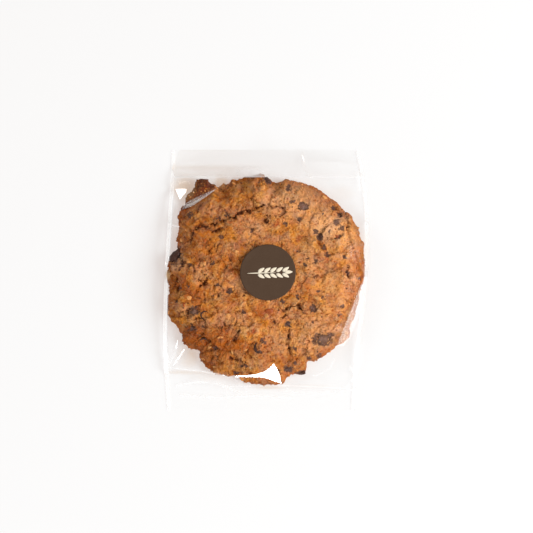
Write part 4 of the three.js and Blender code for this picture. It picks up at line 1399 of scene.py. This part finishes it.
def film_finish(settings):
    """Clear film: mirror-like at a slant, milky on its welds and tinted where layers gather, with painted
    highlights that glow, a painted sheen and some painted shade.
    """
    f = Finish("clear_film")
    place = f.place()
    shine, milk, tint = f.value("shine"), f.value("milk"), f.value("tint")
    smear = f.noise(place, 7.0, 4.0, 0.6, 0.5)
    facing = f.add("ShaderNodeLayerWeight", None, {"Blend": 0.5}, "Facing")
    gloss = (0.001 + facing**5.0 * 0.09 + shine * 0.16).held()
    cloud = milk * (0.7 + smear * 0.6) * settings.haze
    # The warm tint, partly painted shade.
    warm = tint * (0.55 + smear * 0.9) * settings.tint
    share = (gloss + cloud + warm).held()
    veil = f.blend((warm / (cloud + warm + TINY)).held(), settings.film, settings.warm_film)
    solid = (gloss / (share + 0.1 * TINY)).held()
    return f.film(
        share,
        Base_Color=f.blend(solid, veil, settings.film),
        Metallic=solid,
        Roughness=0.06 + milk * 0.1 + smear * 0.04,
        # Painted highlight: the film glows where its shine is set.
        Emission_Color=f.blend(shine.held(), (0.0, 0.0, 0.0), settings.film),
        Emission_Strength=0.3,
    )


def label_finish(settings):
    """Matte dark paper with a fine grain, a shade lighter where its fibres show."""
    f = Finish("label_paper")
    place = f.place()
    fibre = f.noise(place, 0.45, 3.0, 0.6)
    cloud = f.noise(place, 7.0, 3.0, 0.5)
    tone = f.blend(f.step(fibre, 0.4, 0.7) * 0.35, settings.paper, settings.fibre)
    tone = f.blend(f.step(cloud, 0.4, 0.7) * 0.15, tone, settings.fibre)
    return f.surface(
        Base_Color=tone,
        Roughness=0.62 + fibre * 0.15,
        Normal=f.bump(fibre, 0.05, 0.3),
        Specular_IOR_Level=0.15,
    )


def ink_finish(settings):
    """Cream ink, matte like the paper under it."""
    f = Finish("label_ink")
    fibre = f.noise(f.place(), 0.45, 3.0, 0.6)
    tone = f.blend(f.step(fibre, 0.5, 0.75) * 0.15, settings.ink, settings.fibre)
    return f.surface(Base_Color=tone, Roughness=0.6 + fibre * 0.1, Specular_IOR_Level=0.15)


def floor_finish(settings):
    """A pale sweep that glows a little, as a light table does, so that shadows on it stay faint."""
    f = Finish("pale_floor")
    cloud = f.noise(f.place(), 400.0, 2.0)
    tone = f.blend(cloud * 0.06, settings.floor, settings.floor_shade)
    return f.surface(
        Base_Color=tone,
        Roughness=0.85 + cloud * 0.05,
        Specular_IOR_Level=0.2,
        Emission_Color=settings.glow,
        Emission_Strength=1.0,
    )


# ---- Settings


def length(name, description, default):
    """A length, given in millimetres."""
    return FloatProperty(name=name, description=description, default=default * MM, min=0.0, unit="LENGTH")


def tone(name, description, default):
    """A colour, as red, green and blue in linear light."""
    words = {"name": name, "description": description, "default": default}
    return FloatVectorProperty(**words, subtype="COLOR", size=3, min=0.0, max=1.0)


def power(name, description, default):
    """The power of a light, in watts."""
    return FloatProperty(name=name, description=description, default=default, min=0.0, unit="POWER")


class CookieSettings(bpy.types.PropertyGroup):
    radius: length("Radius", "Mean radius of the cookie", 58.4)
    crown: length("Crown", "Height of the crust over the middle", 15.0)
    rim: length("Rim", "Height at which the cookie is widest", 4.6)
    shoulder: length("Shoulder", "How far in from the rim the crown is reached", 17.0)
    tuck: length("Tuck", "How far the flat underside stays inside the outline", 4.5)
    cells: IntProperty(name="Cells", description="Grid cells across the cookie", default=256, min=40)
    brown: tone("Brown", "Main colour of the crust", (0.48, 0.13, 0.021))
    golden: tone("Golden", "Raised parts of the crust", (0.76, 0.305, 0.06))
    pale: tone("Pale", "Palest flakes of the crust", (0.8, 0.44, 0.16))
    rosy: tone("Rosy", "Smooth parts of the crust", (0.62, 0.235, 0.11))
    honey: tone("Honey", "Yellowest parts of the crust", (0.84, 0.31, 0.045))
    red: tone("Red", "Reddish patches of the crust", (0.44, 0.085, 0.017))
    # The colour of the painted light on the crust, which makes it lighter towards the top right.
    painted_light: tone("Lit", "Palest part of the bake", (0.88, 0.44, 0.19))
    burnt: tone("Burnt", "Dark flecks of the crust", (0.31, 0.062, 0.009))
    toasted: tone("Toasted", "Crust near the rim", (0.385, 0.082, 0.011))
    scorched: tone("Scorched", "Darkest lobe of the crust", (0.12, 0.022, 0.008))
    # The colour of the painted shade in the cracks.
    crevice_shade: tone("Crevice", "Inside of the cracks", (0.1, 0.021, 0.004))
    chocolate: tone("Chocolate", "Chocolate", (0.062, 0.027, 0.018))
    bloom: tone("Bloom", "Bloom on the chocolate", (0.22, 0.127, 0.103))
    fruit: tone("Fruit", "Soft fruit", (0.27, 0.06, 0.012))
    oats: tone("Oats", "Oat flakes", (0.62, 0.31, 0.1))


class FilmSettings(bpy.types.PropertyGroup):
    clearance: length("Clearance", "Gap between the crust and the taut film", 0.32)
    crease_ease: length("Crease ease", "How softly the film turns at its creases", 0.04)
    cell: length("Cell", "Size of the film's triangles", 1.15)
    haze: FloatProperty(name="Haze", description="Strength of the milky parts", default=1.0, min=0.0)
    tint: FloatProperty(name="Tint", description="Strength of the warm parts", default=1.0, min=0.0)
    film: tone("Film", "Colour of the film's shine", (1.0, 1.0, 1.0))
    warm_film: tone("Warm film", "Tint where layers of film gather", (0.64, 0.37, 0.14))
    paper: tone("Paper", "Label paper", (0.066, 0.037, 0.021))
    fibre: tone("Fibre", "Fibres of the label paper", (0.096, 0.058, 0.036))
    ink: tone("Ink", "Ink of the label's print", (0.8, 0.71, 0.55))


class StageSettings(bpy.types.PropertyGroup):
    view_width: length("View width", "Width of the table that the camera sees", 309.0)
    distance: length("Camera height", "Height of the camera over the table", 1150.0)
    floor: tone("Floor", "Floor", (0.418, 0.497, 0.537))
    floor_shade: tone("Floor shade", "Faint clouds on the floor", (0.41, 0.485, 0.521))
    glow: tone("Glow", "Light that the floor gives off", (0.466, 0.367, 0.32))
    surroundings: tone("Surroundings", "Light from all round", (0.45, 0.45, 0.45))
    key_power: power("Key light", "Power of the key light", 60.0)
    front_power: power("Front light", "Power of the front light", 9.0)
    left_power: power("Left light", "Power of the left light", 4.6)


# ---- Operators


class COOKIE_OT_crust(bpy.types.Operator):
    """Bakes the craggy cookie"""

    bl_idname = "cookie.crust"
    bl_label = "Crust"

    def execute(self, context):
        settings = context.scene.cookie
        grain = Grain(CHOSEN_SEED)
        points, groups, inside = cookie_form(settings)
        normals = outward(points, groups)
        height, dark, flake = crags(points, grain)
        depth, crack_shade = crack_lines(points, grain)
        step, shade, edge = fold_steps(points, grain)
        height = height * lerp(1.3, 1.0, smooth(-30.0, 10.0, points[:, 0])) + step
        upper = smooth(0.5, 4.0, points[:, 2])
        calm = lerp(0.1, 0.7, smooth(-20.0, 25.0, points[:, 0])) * smooth(5.0, 0.5, inside)
        rise = (1.0 - calm * (points[:, 2] < 9.0)) * height
        points = points + normals * (lerp(0.12, 1.0, upper) * rise - upper * depth)[:, None]
        x, y = points[:, 0], points[:, 1]
        points[:, 2] = np.clip(points[:, 2], 0.2, np.maximum(ceiling_of_film(x, y), LEAST_CEILING))
        points[-1] = 0.0  # the middle of the underside rests on the table
        piece = new_piece("cookie_crust", points, groups, crust_finish(settings))
        toast = 0.6 * bell(inside, 6.0) + 0.3 * bell(inside, 2.0) + 0.3 * grain.soft(points + 21.0, 18.0)
        toast += 1.5 * smooth(10.0, 6.0, to_segment(x, y, *DARKEST_LOBE)[0]) - 0.25
        bent_x, bent_y = x + 3.0 * grain.soft(points + 33.0, 9.0), y + 3.0 * grain.soft(points + 53.0, 9.0)
        # tone holds the wide tones with their painted light and shade. dark holds painted shade in cracks,
        # joints, pits and under flake edges. flake holds the flakes' heights, plus a painted highlight on
        # their rims, which the colour turns into painted highlights and shade.
        add_values(
            piece,
            toast=np.clip(toast, 0, 2),
            dark=np.clip(np.maximum(dark * upper, np.maximum(crack_shade, 0.55 * shade)), 0, 1),
            flake=flake + 0.8 * edge,
            cocoa=melted_chocolate(points, grain),
            tone=sum(of_area(bent_x, bent_y, *area[:4]) * area[4] for area in TONES_AND_PAINTED_LIGHT),
            red=np.max([of_area(bent_x, bent_y, *patch) for patch in RED_PATCHES], axis=0),
        )
        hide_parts("bag")
        return {"FINISHED"}


def depth_of_melt(long, wide, rise):
    """How solid a melted chip is in its middle, where 1 is plain chocolate."""
    if rise < 0.16 and max(long, wide) < 6.0:
        return 0.9
    if rise >= FLUSH or min(long, wide) < 4.4:
        return 1.15
    return 2.2 if rise > 0.35 else 1.45


def melted_chocolate(points, grain):
    """How much of the crust's surface is melted chocolate: 1 in the middle of a smear, 0 past its edge."""
    cocoa = np.zeros(len(points))
    bent_x = points[:, 0] + 0.7 * grain.soft(points + 15.0, 2.2) + 0.4 * grain.soft(points + 16.0, 0.9)
    bent_y = points[:, 1] + 0.7 * grain.soft(points + 25.0, 2.2) + 0.4 * grain.soft(points + 26.0, 0.9)
    for x, y, long, wide, turn, rise in CHOCOLATE:
        along, across = turned(bent_x - x, bent_y - y, -turn)
        away = np.hypot(along / (long / 2 + 0.3), across / (wide / 2 + 0.3))
        deep = depth_of_melt(long, wide, rise)
        cocoa = np.maximum(cocoa, deep - (deep - 0.5) * away)
    return np.where(points[:, 2] > 2.0, np.clip(cocoa, 0, 2), 0.0)


def lumpy(ball, size, grain, shift, ragged):
    """A ball squashed to a size, with an uneven outline."""
    points = ball * (1.0 + ragged * grain.rough(ball + shift, 0.9, 2)[:, None])
    return points * size


class COOKIE_OT_chocolate(bpy.types.Operator):
    """Sets chips, chunks and melted smears of chocolate into the crust"""

    bl_idname = "cookie.chocolate"
    bl_label = "Chocolate"

    def execute(self, context):
        crust = Crust(bpy.data.objects["cookie_crust"])
        grain = Grain(CHOSEN_SEED + 1)
        ball, faces = round_ball(10, 18)
        parts = []
        for number, (x, y, long, wide, turn, rise) in enumerate(CHOCOLATE):
            if rise < FLUSH:
                continue
            thick = 0.55 * min(long, wide) if rise > 0.3 else 0.9
            chip = lumpy(ball, (long / 2, wide / 2, thick), grain, 9.0 * number, 0.3)
            chip[:, 2] = np.minimum(chip[:, 2], 0.75 * thick) - 0.75 * thick + rise
            parts.append((crust.carry(chip, x, y, turn), faces))
        for number, crescent in enumerate(CRESCENTS):
            parts.append(self.crescent(crust, grain, number, *crescent))
        points, faces = join(parts)
        finish = chocolate_finish(context.scene.cookie)
        piece = new_piece("chocolate_chips", points, [faces], finish)
        keep_under_film(piece)
        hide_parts("bag")
        return {"FINISHED"}

    def crescent(self, crust, grain, number, x, y, bend, thick, start, sweep):
        """A bent streak that follows the crust."""
        ball, faces = round_ball(20, 10)
        along = np.arccos(np.clip(ball[:, 2], -1, 1)) / math.pi
        turn = np.radians(start + sweep * along)
        girth = thick * (1.0 + 0.4 * grain.soft(ball * 3.0 + 7.0 * number, 1.0))
        out = bend + girth * ball[:, 0]
        points = np.stack([x + out * np.cos(turn), y + out * np.sin(turn), girth * ball[:, 1]], 1)
        for i, (px, py, _) in enumerate(points):
            points[i, 2] += crust.at(px, py)[0][2]
        return points, faces[:, ::-1]


class COOKIE_OT_fruit(bpy.types.Operator):
    """Sets soft fruit lumps into the crust"""

    bl_idname = "cookie.fruit"
    bl_label = "Fruit"

    def execute(self, context):
        crust = Crust(bpy.data.objects["cookie_crust"])
        grain = Grain(CHOSEN_SEED + 2)
        ball, faces = round_ball(10, 18)
        parts = []
        for number, (x, y, long, wide, turn) in enumerate(FRUIT):
            lump = lumpy(ball, (long / 2, wide / 2, 1.4), grain, 5.0 * number, 0.28)
            lump[:, 2] -= 1.1
            parts.append((crust.carry(lump, x, y, turn), faces))
        points, faces = join(parts)
        piece = new_piece("fruit_lumps", points, [faces], fruit_finish(context.scene.cookie))
        keep_under_film(piece)
        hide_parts("bag")
        return {"FINISHED"}


def scatter_tree():
    """Geometry Nodes that scatter a small thing over the upper faces of a mesh."""
    tree = bpy.data.node_groups.new("scatter_on_crust", "GeometryNodeTree")
    face = tree.interface
    face.new_socket("Geometry", in_out="INPUT", socket_type="NodeSocketGeometry")
    wanted = [
        ("Thing", "NodeSocketObject"), ("Density", "NodeSocketFloat"), ("Spacing", "NodeSocketFloat"),
        ("Least size", "NodeSocketFloat"), ("Most size", "NodeSocketFloat"), ("Tilt", "NodeSocketFloat"),
        ("Sink", "NodeSocketFloat"), ("Seed", "NodeSocketInt"), ("Material", "NodeSocketMaterial"),
    ]
    for name, kind in wanted:
        face.new_socket(name, in_out="INPUT", socket_type=kind)
    face.new_socket("Geometry", in_out="OUTPUT", socket_type="NodeSocketGeometry")
    nodes, links = tree.nodes, tree.links

    def add(kind, settings=None, inputs=None):
        node = nodes.new(kind)
        for name, value in (settings or {}).items():
            setattr(node, name, value)
        for name, value in (inputs or {}).items():
            if isinstance(value, bpy.types.NodeSocket):
                links.new(value, node.inputs[name])
            else:
                node.inputs[name].default_value = value
        return node

    given = add("NodeGroupInput").outputs
    normal = add("GeometryNodeInputNormal").outputs["Normal"]
    split = add("ShaderNodeSeparateXYZ", None, {"Vector": normal})
    upper = add("FunctionNodeCompare", {"data_type": "FLOAT", "operation": "GREATER_THAN"},
                {0: split.outputs["Z"], 1: 0.25})
    cocoa = add("GeometryNodeInputNamedAttribute", {"data_type": "FLOAT"}, {"Name": "cocoa"})
    plain = add("FunctionNodeCompare", {"data_type": "FLOAT", "operation": "LESS_THAN"},
                {0: cocoa.outputs[0], 1: 0.4})
    both = add("FunctionNodeBooleanMath", {"operation": "AND"},
               {0: upper.outputs["Result"], 1: plain.outputs["Result"]})
    spots = add("GeometryNodeDistributePointsOnFaces", {"distribute_method": "POISSON"},
                {"Mesh": given["Geometry"], "Selection": both.outputs[0],
                 "Distance Min": given["Spacing"], "Density Max": given["Density"], "Seed": given["Seed"]})
    spin = add("FunctionNodeRandomValue", {"data_type": "FLOAT_VECTOR"}, {"Seed": given["Seed"]})
    reach = add("ShaderNodeCombineXYZ", None, {"X": given["Tilt"], "Y": given["Tilt"], "Z": math.pi})
    back = add("ShaderNodeVectorMath", {"operation": "SCALE"}, {0: reach.outputs[0], "Scale": -1.0})
    links.new(back.outputs[0], spin.inputs["Min"])
    links.new(reach.outputs[0], spin.inputs["Max"])
    size = add("FunctionNodeRandomValue", {"data_type": "FLOAT"}, {"Seed": given["Seed"]})
    links.new(given["Least size"], size.inputs[2])
    links.new(given["Most size"], size.inputs[3])
    info = add("GeometryNodeObjectInfo", None, {"Object": given["Thing"]})
    placed = add("GeometryNodeInstanceOnPoints", None,
                 {"Points": spots.outputs["Points"], "Instance": info.outputs["Geometry"],
                  "Rotation": spots.outputs["Rotation"], "Scale": size.outputs[1]})
    tilted = add("GeometryNodeRotateInstances", None,
                 {"Instances": placed.outputs["Instances"], "Rotation": spin.outputs["Value"]})
    down = add("ShaderNodeCombineXYZ", None, {"Z": given["Sink"]})
    sunk = add("GeometryNodeTranslateInstances", None,
               {"Instances": tilted.outputs["Instances"], "Translation": down.outputs[0],
                "Local Space": False})
    real = add("GeometryNodeRealizeInstances", None, {"Geometry": sunk.outputs["Instances"]})
    dressed = add("GeometryNodeSetMaterial", None,
                  {"Geometry": real.outputs["Geometry"], "Material": given["Material"]})
    add("NodeGroupOutput", None, {"Geometry": dressed.outputs["Geometry"]})
    return tree


def scatter(name, thing, finish, slot, **values):
    """A plain mesh of copies of a small thing, scattered over the crust."""
    tree = bpy.data.node_groups.get("scatter_on_crust") or scatter_tree()
    base = bpy.data.objects.new(name + "_base", bpy.data.objects["cookie_crust"].data.copy())
    bpy.context.scene.collection.objects.link(base)
    modifier = base.modifiers.new("scatter", "NODES")
    modifier.node_group = tree
    sockets = {item.name: item.identifier for item in tree.interface.items_tree if item.in_out == "INPUT"}
    for key, value in {"Thing": thing, "Material": finish, **values}.items():
        modifier[sockets[key]] = value
    seen = base.evaluated_get(bpy.context.evaluated_depsgraph_get())
    mesh = bpy.data.meshes.new_from_object(seen)
    mesh.name = name
    if not mesh.vertices:
        raise RuntimeError(f"{name} scattered nothing")
    bpy.data.objects.remove(base)
    bpy.data.objects.remove(thing)
    if not mesh.materials:
        mesh.materials.append(finish)
    piece = place_piece(mesh)
    keep_under_film(piece)
    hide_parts("bag")
    return piece


def small_thing(name, points, faces):
    """One of the things to scatter, as an object at the origin."""
    thing = bpy.data.objects.new(name, new_mesh(name, points, faces.tolist()))
    bpy.context.scene.collection.objects.link(thing)
    return thing


class COOKIE_OT_oats(bpy.types.Operator):
    """Scatters toasted oat flakes over the crust, most of them half sunk"""

    bl_idname = "cookie.oats"
    bl_label = "Oat flakes"

    def execute(self, context):
        ball, faces = round_ball(6, 10)
        flake = lumpy(ball, (2.5, 1.5, 0.3), Grain(CHOSEN_SEED + 4), 3.0, 0.3)
        flake[:, 2] -= 0.03 * flake[:, 0] ** 2
        scatter(
            "oat_flakes", small_thing("flake", flake, faces), oat_finish(context.scene.cookie), "oats",
            Density=9000.0, Spacing=6.0 * MM, Sink=-0.24 * MM, Tilt=0.25, Seed=CHOSEN_SEED,
            **{"Least size": 0.5, "Most size": 1.1},
        )
        return {"FINISHED"}


class COOKIE_OT_crumbs(bpy.types.Operator):
    """Scatters crumbs of dough over the crust"""

    bl_idname = "cookie.crumbs"
    bl_label = "Crumbs"

    def execute(self, context):
        grain = Grain(CHOSEN_SEED + 5)
        ball, faces = round_ball(4, 6)
        crumb = lumpy(ball, (0.8, 0.62, 0.42), grain, 2.0, 0.35)
        material = bpy.data.materials["baked_crust"]
        piece = scatter(
            "dough_crumbs", small_thing("crumb", crumb, faces), material, "crumb",
            Density=300000.0, Spacing=1.5 * MM, Sink=-0.12 * MM, Tilt=1.2, Seed=CHOSEN_SEED + 9,
            **{"Least size": 0.4, "Most size": 1.15},
        )
        crumbs = len(piece.data.vertices) // len(crumb)
        draw = np.random.default_rng(CHOSEN_SEED)
        shade = draw.random(crumbs) ** 1.3
        cocoa = 1.0 * (draw.random(crumbs) > 0.98)
        flake = draw.uniform(-0.2, 0.8, crumbs)
        values = {"toast": 0.4 * shade, "dark": 0.0 * shade, "cocoa": cocoa, "shade": shade, "flake": flake}
        add_values(piece, **{name: np.repeat(each, len(crumb)) for name, each in values.items()})
        return {"FINISHED"}


class COOKIE_OT_film(bpy.types.Operator):
    """Draws the clear bag taut over the cookie"""

    bl_idname = "cookie.film"
    bl_label = "Film bag"

    def execute(self, context):
        settings = context.scene.bag
        form = FilmForm(all_contents(), settings)
        plan = bag_plan(settings.cell / MM)
        x, y, triangles, rim = plan
        upper, lower = bag_heights(form, x, y, rim)
        values, facets = bag_values(form, x, y, upper), facet_values(form, x, y, triangles)
        piece = closed_sheets("film_bag", plan, upper, lower, film_finish(settings), values, facets)
        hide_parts("bag")
        return {"FINISHED"}


class COOKIE_OT_flap(bpy.types.Operator):
    """Folds the bag's closing flap over its top end"""

    bl_idname = "cookie.flap"
    bl_label = "Flap"

    def execute(self, context):
        settings = context.scene.bag
        form = FilmForm(all_contents(), settings)
        grain = Grain(CHOSEN_SEED + 8)
        plan = flap_plan(settings.cell / MM)
        x, y = plan[:2]
        upper = flap_height(form, grain, x, y)
        film = bpy.data.materials["clear_film"]
        piece = closed_sheets("film_flap", plan, upper, upper - 0.08, film, flap_values(grain, x, y))
        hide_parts("bag")
        return {"FINISHED"}


def label_level(x, y):
    """Height of the label's underside, which follows the film and curls up a little at its rim."""
    away = np.hypot(x - LABEL_CENTRE[0], y - LABEL_CENTRE[1])
    wave = Grain(CHOSEN_SEED + 6).soft(in_plan(x, y), 10.0)
    return LABEL_FILM + LABEL_GLUE + 0.04 * wave + 0.06 * smooth(LABEL_RADIUS - 4.0, LABEL_RADIUS, away)


def flat_prism(x, y, low, high):
    """Points and triangles of a thin disc of any outline, over and under the middle of its rings."""
    rings, sides = x.shape
    middle = [(x[0].mean(), y[0].mean())]
    plan = np.concatenate([middle, np.stack([x.ravel(), y.ravel()], 1)])
    level = label_level(*plan.T)
    points = np.concatenate([np.column_stack([plan, level + side]) for side in (high, low)])
    loops = [1 + k * sides + np.arange(sides) for k in range(rings)]
    upper = np.concatenate([fan(0, loops[0]), *map(halves, ring_walls(loops))])
    edge = [halves(wall) for wall in ring_walls([loops[-1], loops[-1] + len(plan)])]
    return points, np.concatenate([upper, upper[:, ::-1] + len(plan), *edge])


class COOKIE_OT_label(bpy.types.Operator):
    """Sticks the round label on the film, with a plain sprig of oats printed on it"""

    bl_idname = "cookie.label"
    bl_label = "Label"

    def execute(self, context):
        settings = context.scene.bag
        turn = np.linspace(0.0, 2 * np.pi, 120, endpoint=False)
        radius = np.linspace(0.0, LABEL_RADIUS, 27)[1:, None]
        x, y = LABEL_CENTRE[0] + radius * np.cos(turn), LABEL_CENTRE[1] + radius * np.sin(turn)
        points, faces = flat_prism(x, y, 0.0, LABEL_THICKNESS)
        piece = new_piece("round_label", points, [faces], label_finish(settings))
        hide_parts("label")

        points, faces = join([self.grain_of(*grain) for grain in SPRIG])
        piece = new_piece("label_print", points, [faces], ink_finish(settings))
        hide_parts("label")
        return {"FINISHED"}

    def grain_of(self, x, y, long, wide, turn):
        """A thin pointed oval of ink."""
        around = np.linspace(0.0, 2 * np.pi, 28, endpoint=False)
        along = long / 2 * np.cos(around)
        across = wide / 2 * np.sin(around) * (1.0 - 0.35 * np.cos(around)) * np.abs(np.sin(around)) ** 0.2
        run_x, run_y = turned(along, across, turn)
        share = np.array([[0.5], [1.0]])
        at_x, at_y = LABEL_CENTRE + (x, y)
        return flat_prism(at_x + share * run_x, at_y + share * run_y, LABEL_THICKNESS - 0.06, INK_LEVEL)


def softbox(name, place, side, strength, tint=(1.0, 1.0, 1.0)):
    """A square light that faces the origin, its place and side in metres."""
    light = bpy.data.lights.new(name, "AREA")
    light.size = side
    light.energy = strength
    light.color = tint
    lamp = bpy.data.objects.new(name, light)
    lamp.location = place
    lamp.rotation_euler = (-Vector(place)).to_track_quat("-Z", "Y").to_euler()
    bpy.context.scene.collection.objects.link(lamp)


class COOKIE_OT_stage(bpy.types.Operator):
    """Lays the pale floor and sets the lights and the camera"""

    bl_idname = "cookie.stage"
    bl_label = "Stage"

    def execute(self, context):
        settings = context.scene.stage
        corners = [(x * FLOOR_REACH, y * FLOOR_REACH, 0) for x, y in ((-1, -1), (1, -1), (1, 1), (-1, 1))]
        mesh = new_mesh("floor", corners, [(0, 1, 2, 3)])
        mesh.materials.append(floor_finish(settings))
        floor = bpy.data.objects.new("floor", mesh)
        context.scene.collection.objects.link(floor)

        world = bpy.data.worlds.new("studio")
        world.use_nodes = True
        backdrop = world.node_tree.nodes["Background"]
        backdrop.inputs["Color"].default_value = colour(settings.surroundings)
        context.scene.world = world

        softbox("key", (1.86, -0.15, 1.32), 1.5, settings.key_power, (1.0, 0.985, 0.965))
        softbox("front", (-0.126, -1.575, 0.875), 0.45, settings.front_power)
        softbox("left", (-1.485, 0.384, 0.937), 0.42, settings.left_power)

        camera = bpy.data.objects.new("camera", bpy.data.cameras.new("camera"))
        camera.location = (*(shift * MM for shift in CAMERA_SHIFT), settings.distance)
        camera.data.lens = camera.data.sensor_width * settings.distance / settings.view_width
        camera.data.clip_end = 20.0
        context.scene.collection.objects.link(camera)
        context.scene.camera = camera
        context.scene.view_settings.view_transform = "Standard"
        return {"FINISHED"}


class COOKIE_PT_panel(bpy.types.Panel):
    """Lists the pieces in the order that they are made"""

    bl_idname = "COOKIE_PT_panel"
    bl_label = "Wrapped cookie"
    bl_space_type = "VIEW_3D"
    bl_region_type = "UI"
    bl_category = "Cookie"

    def draw(self, context):
        for operator in OPERATORS:
            self.layout.operator(operator.bl_idname)


OPERATORS = (
    COOKIE_OT_crust, COOKIE_OT_chocolate, COOKIE_OT_fruit, COOKIE_OT_oats, COOKIE_OT_crumbs,
    COOKIE_OT_film, COOKIE_OT_flap, COOKIE_OT_label, COOKIE_OT_stage,
)
SETTINGS = {"cookie": CookieSettings, "bag": FilmSettings, "stage": StageSettings}


def register():
    for kind in (*SETTINGS.values(), *OPERATORS, COOKIE_PT_panel):
        bpy.utils.register_class(kind)
    for name, kind in SETTINGS.items():
        setattr(bpy.types.Scene, name, PointerProperty(type=kind))


def unregister():
    for name in SETTINGS:
        delattr(bpy.types.Scene, name)
    for kind in reversed((*SETTINGS.values(), *OPERATORS, COOKIE_PT_panel)):
        bpy.utils.unregister_class(kind)


def main():
    register()
    bpy.ops.cookie.crust()
    bpy.ops.cookie.chocolate()
    bpy.ops.cookie.fruit()
    bpy.ops.cookie.oats()
    bpy.ops.cookie.crumbs()
    bpy.ops.cookie.film()
    bpy.ops.cookie.flap()
    bpy.ops.cookie.label()
    bpy.ops.cookie.stage()


if __name__ == "__main__":
    main()
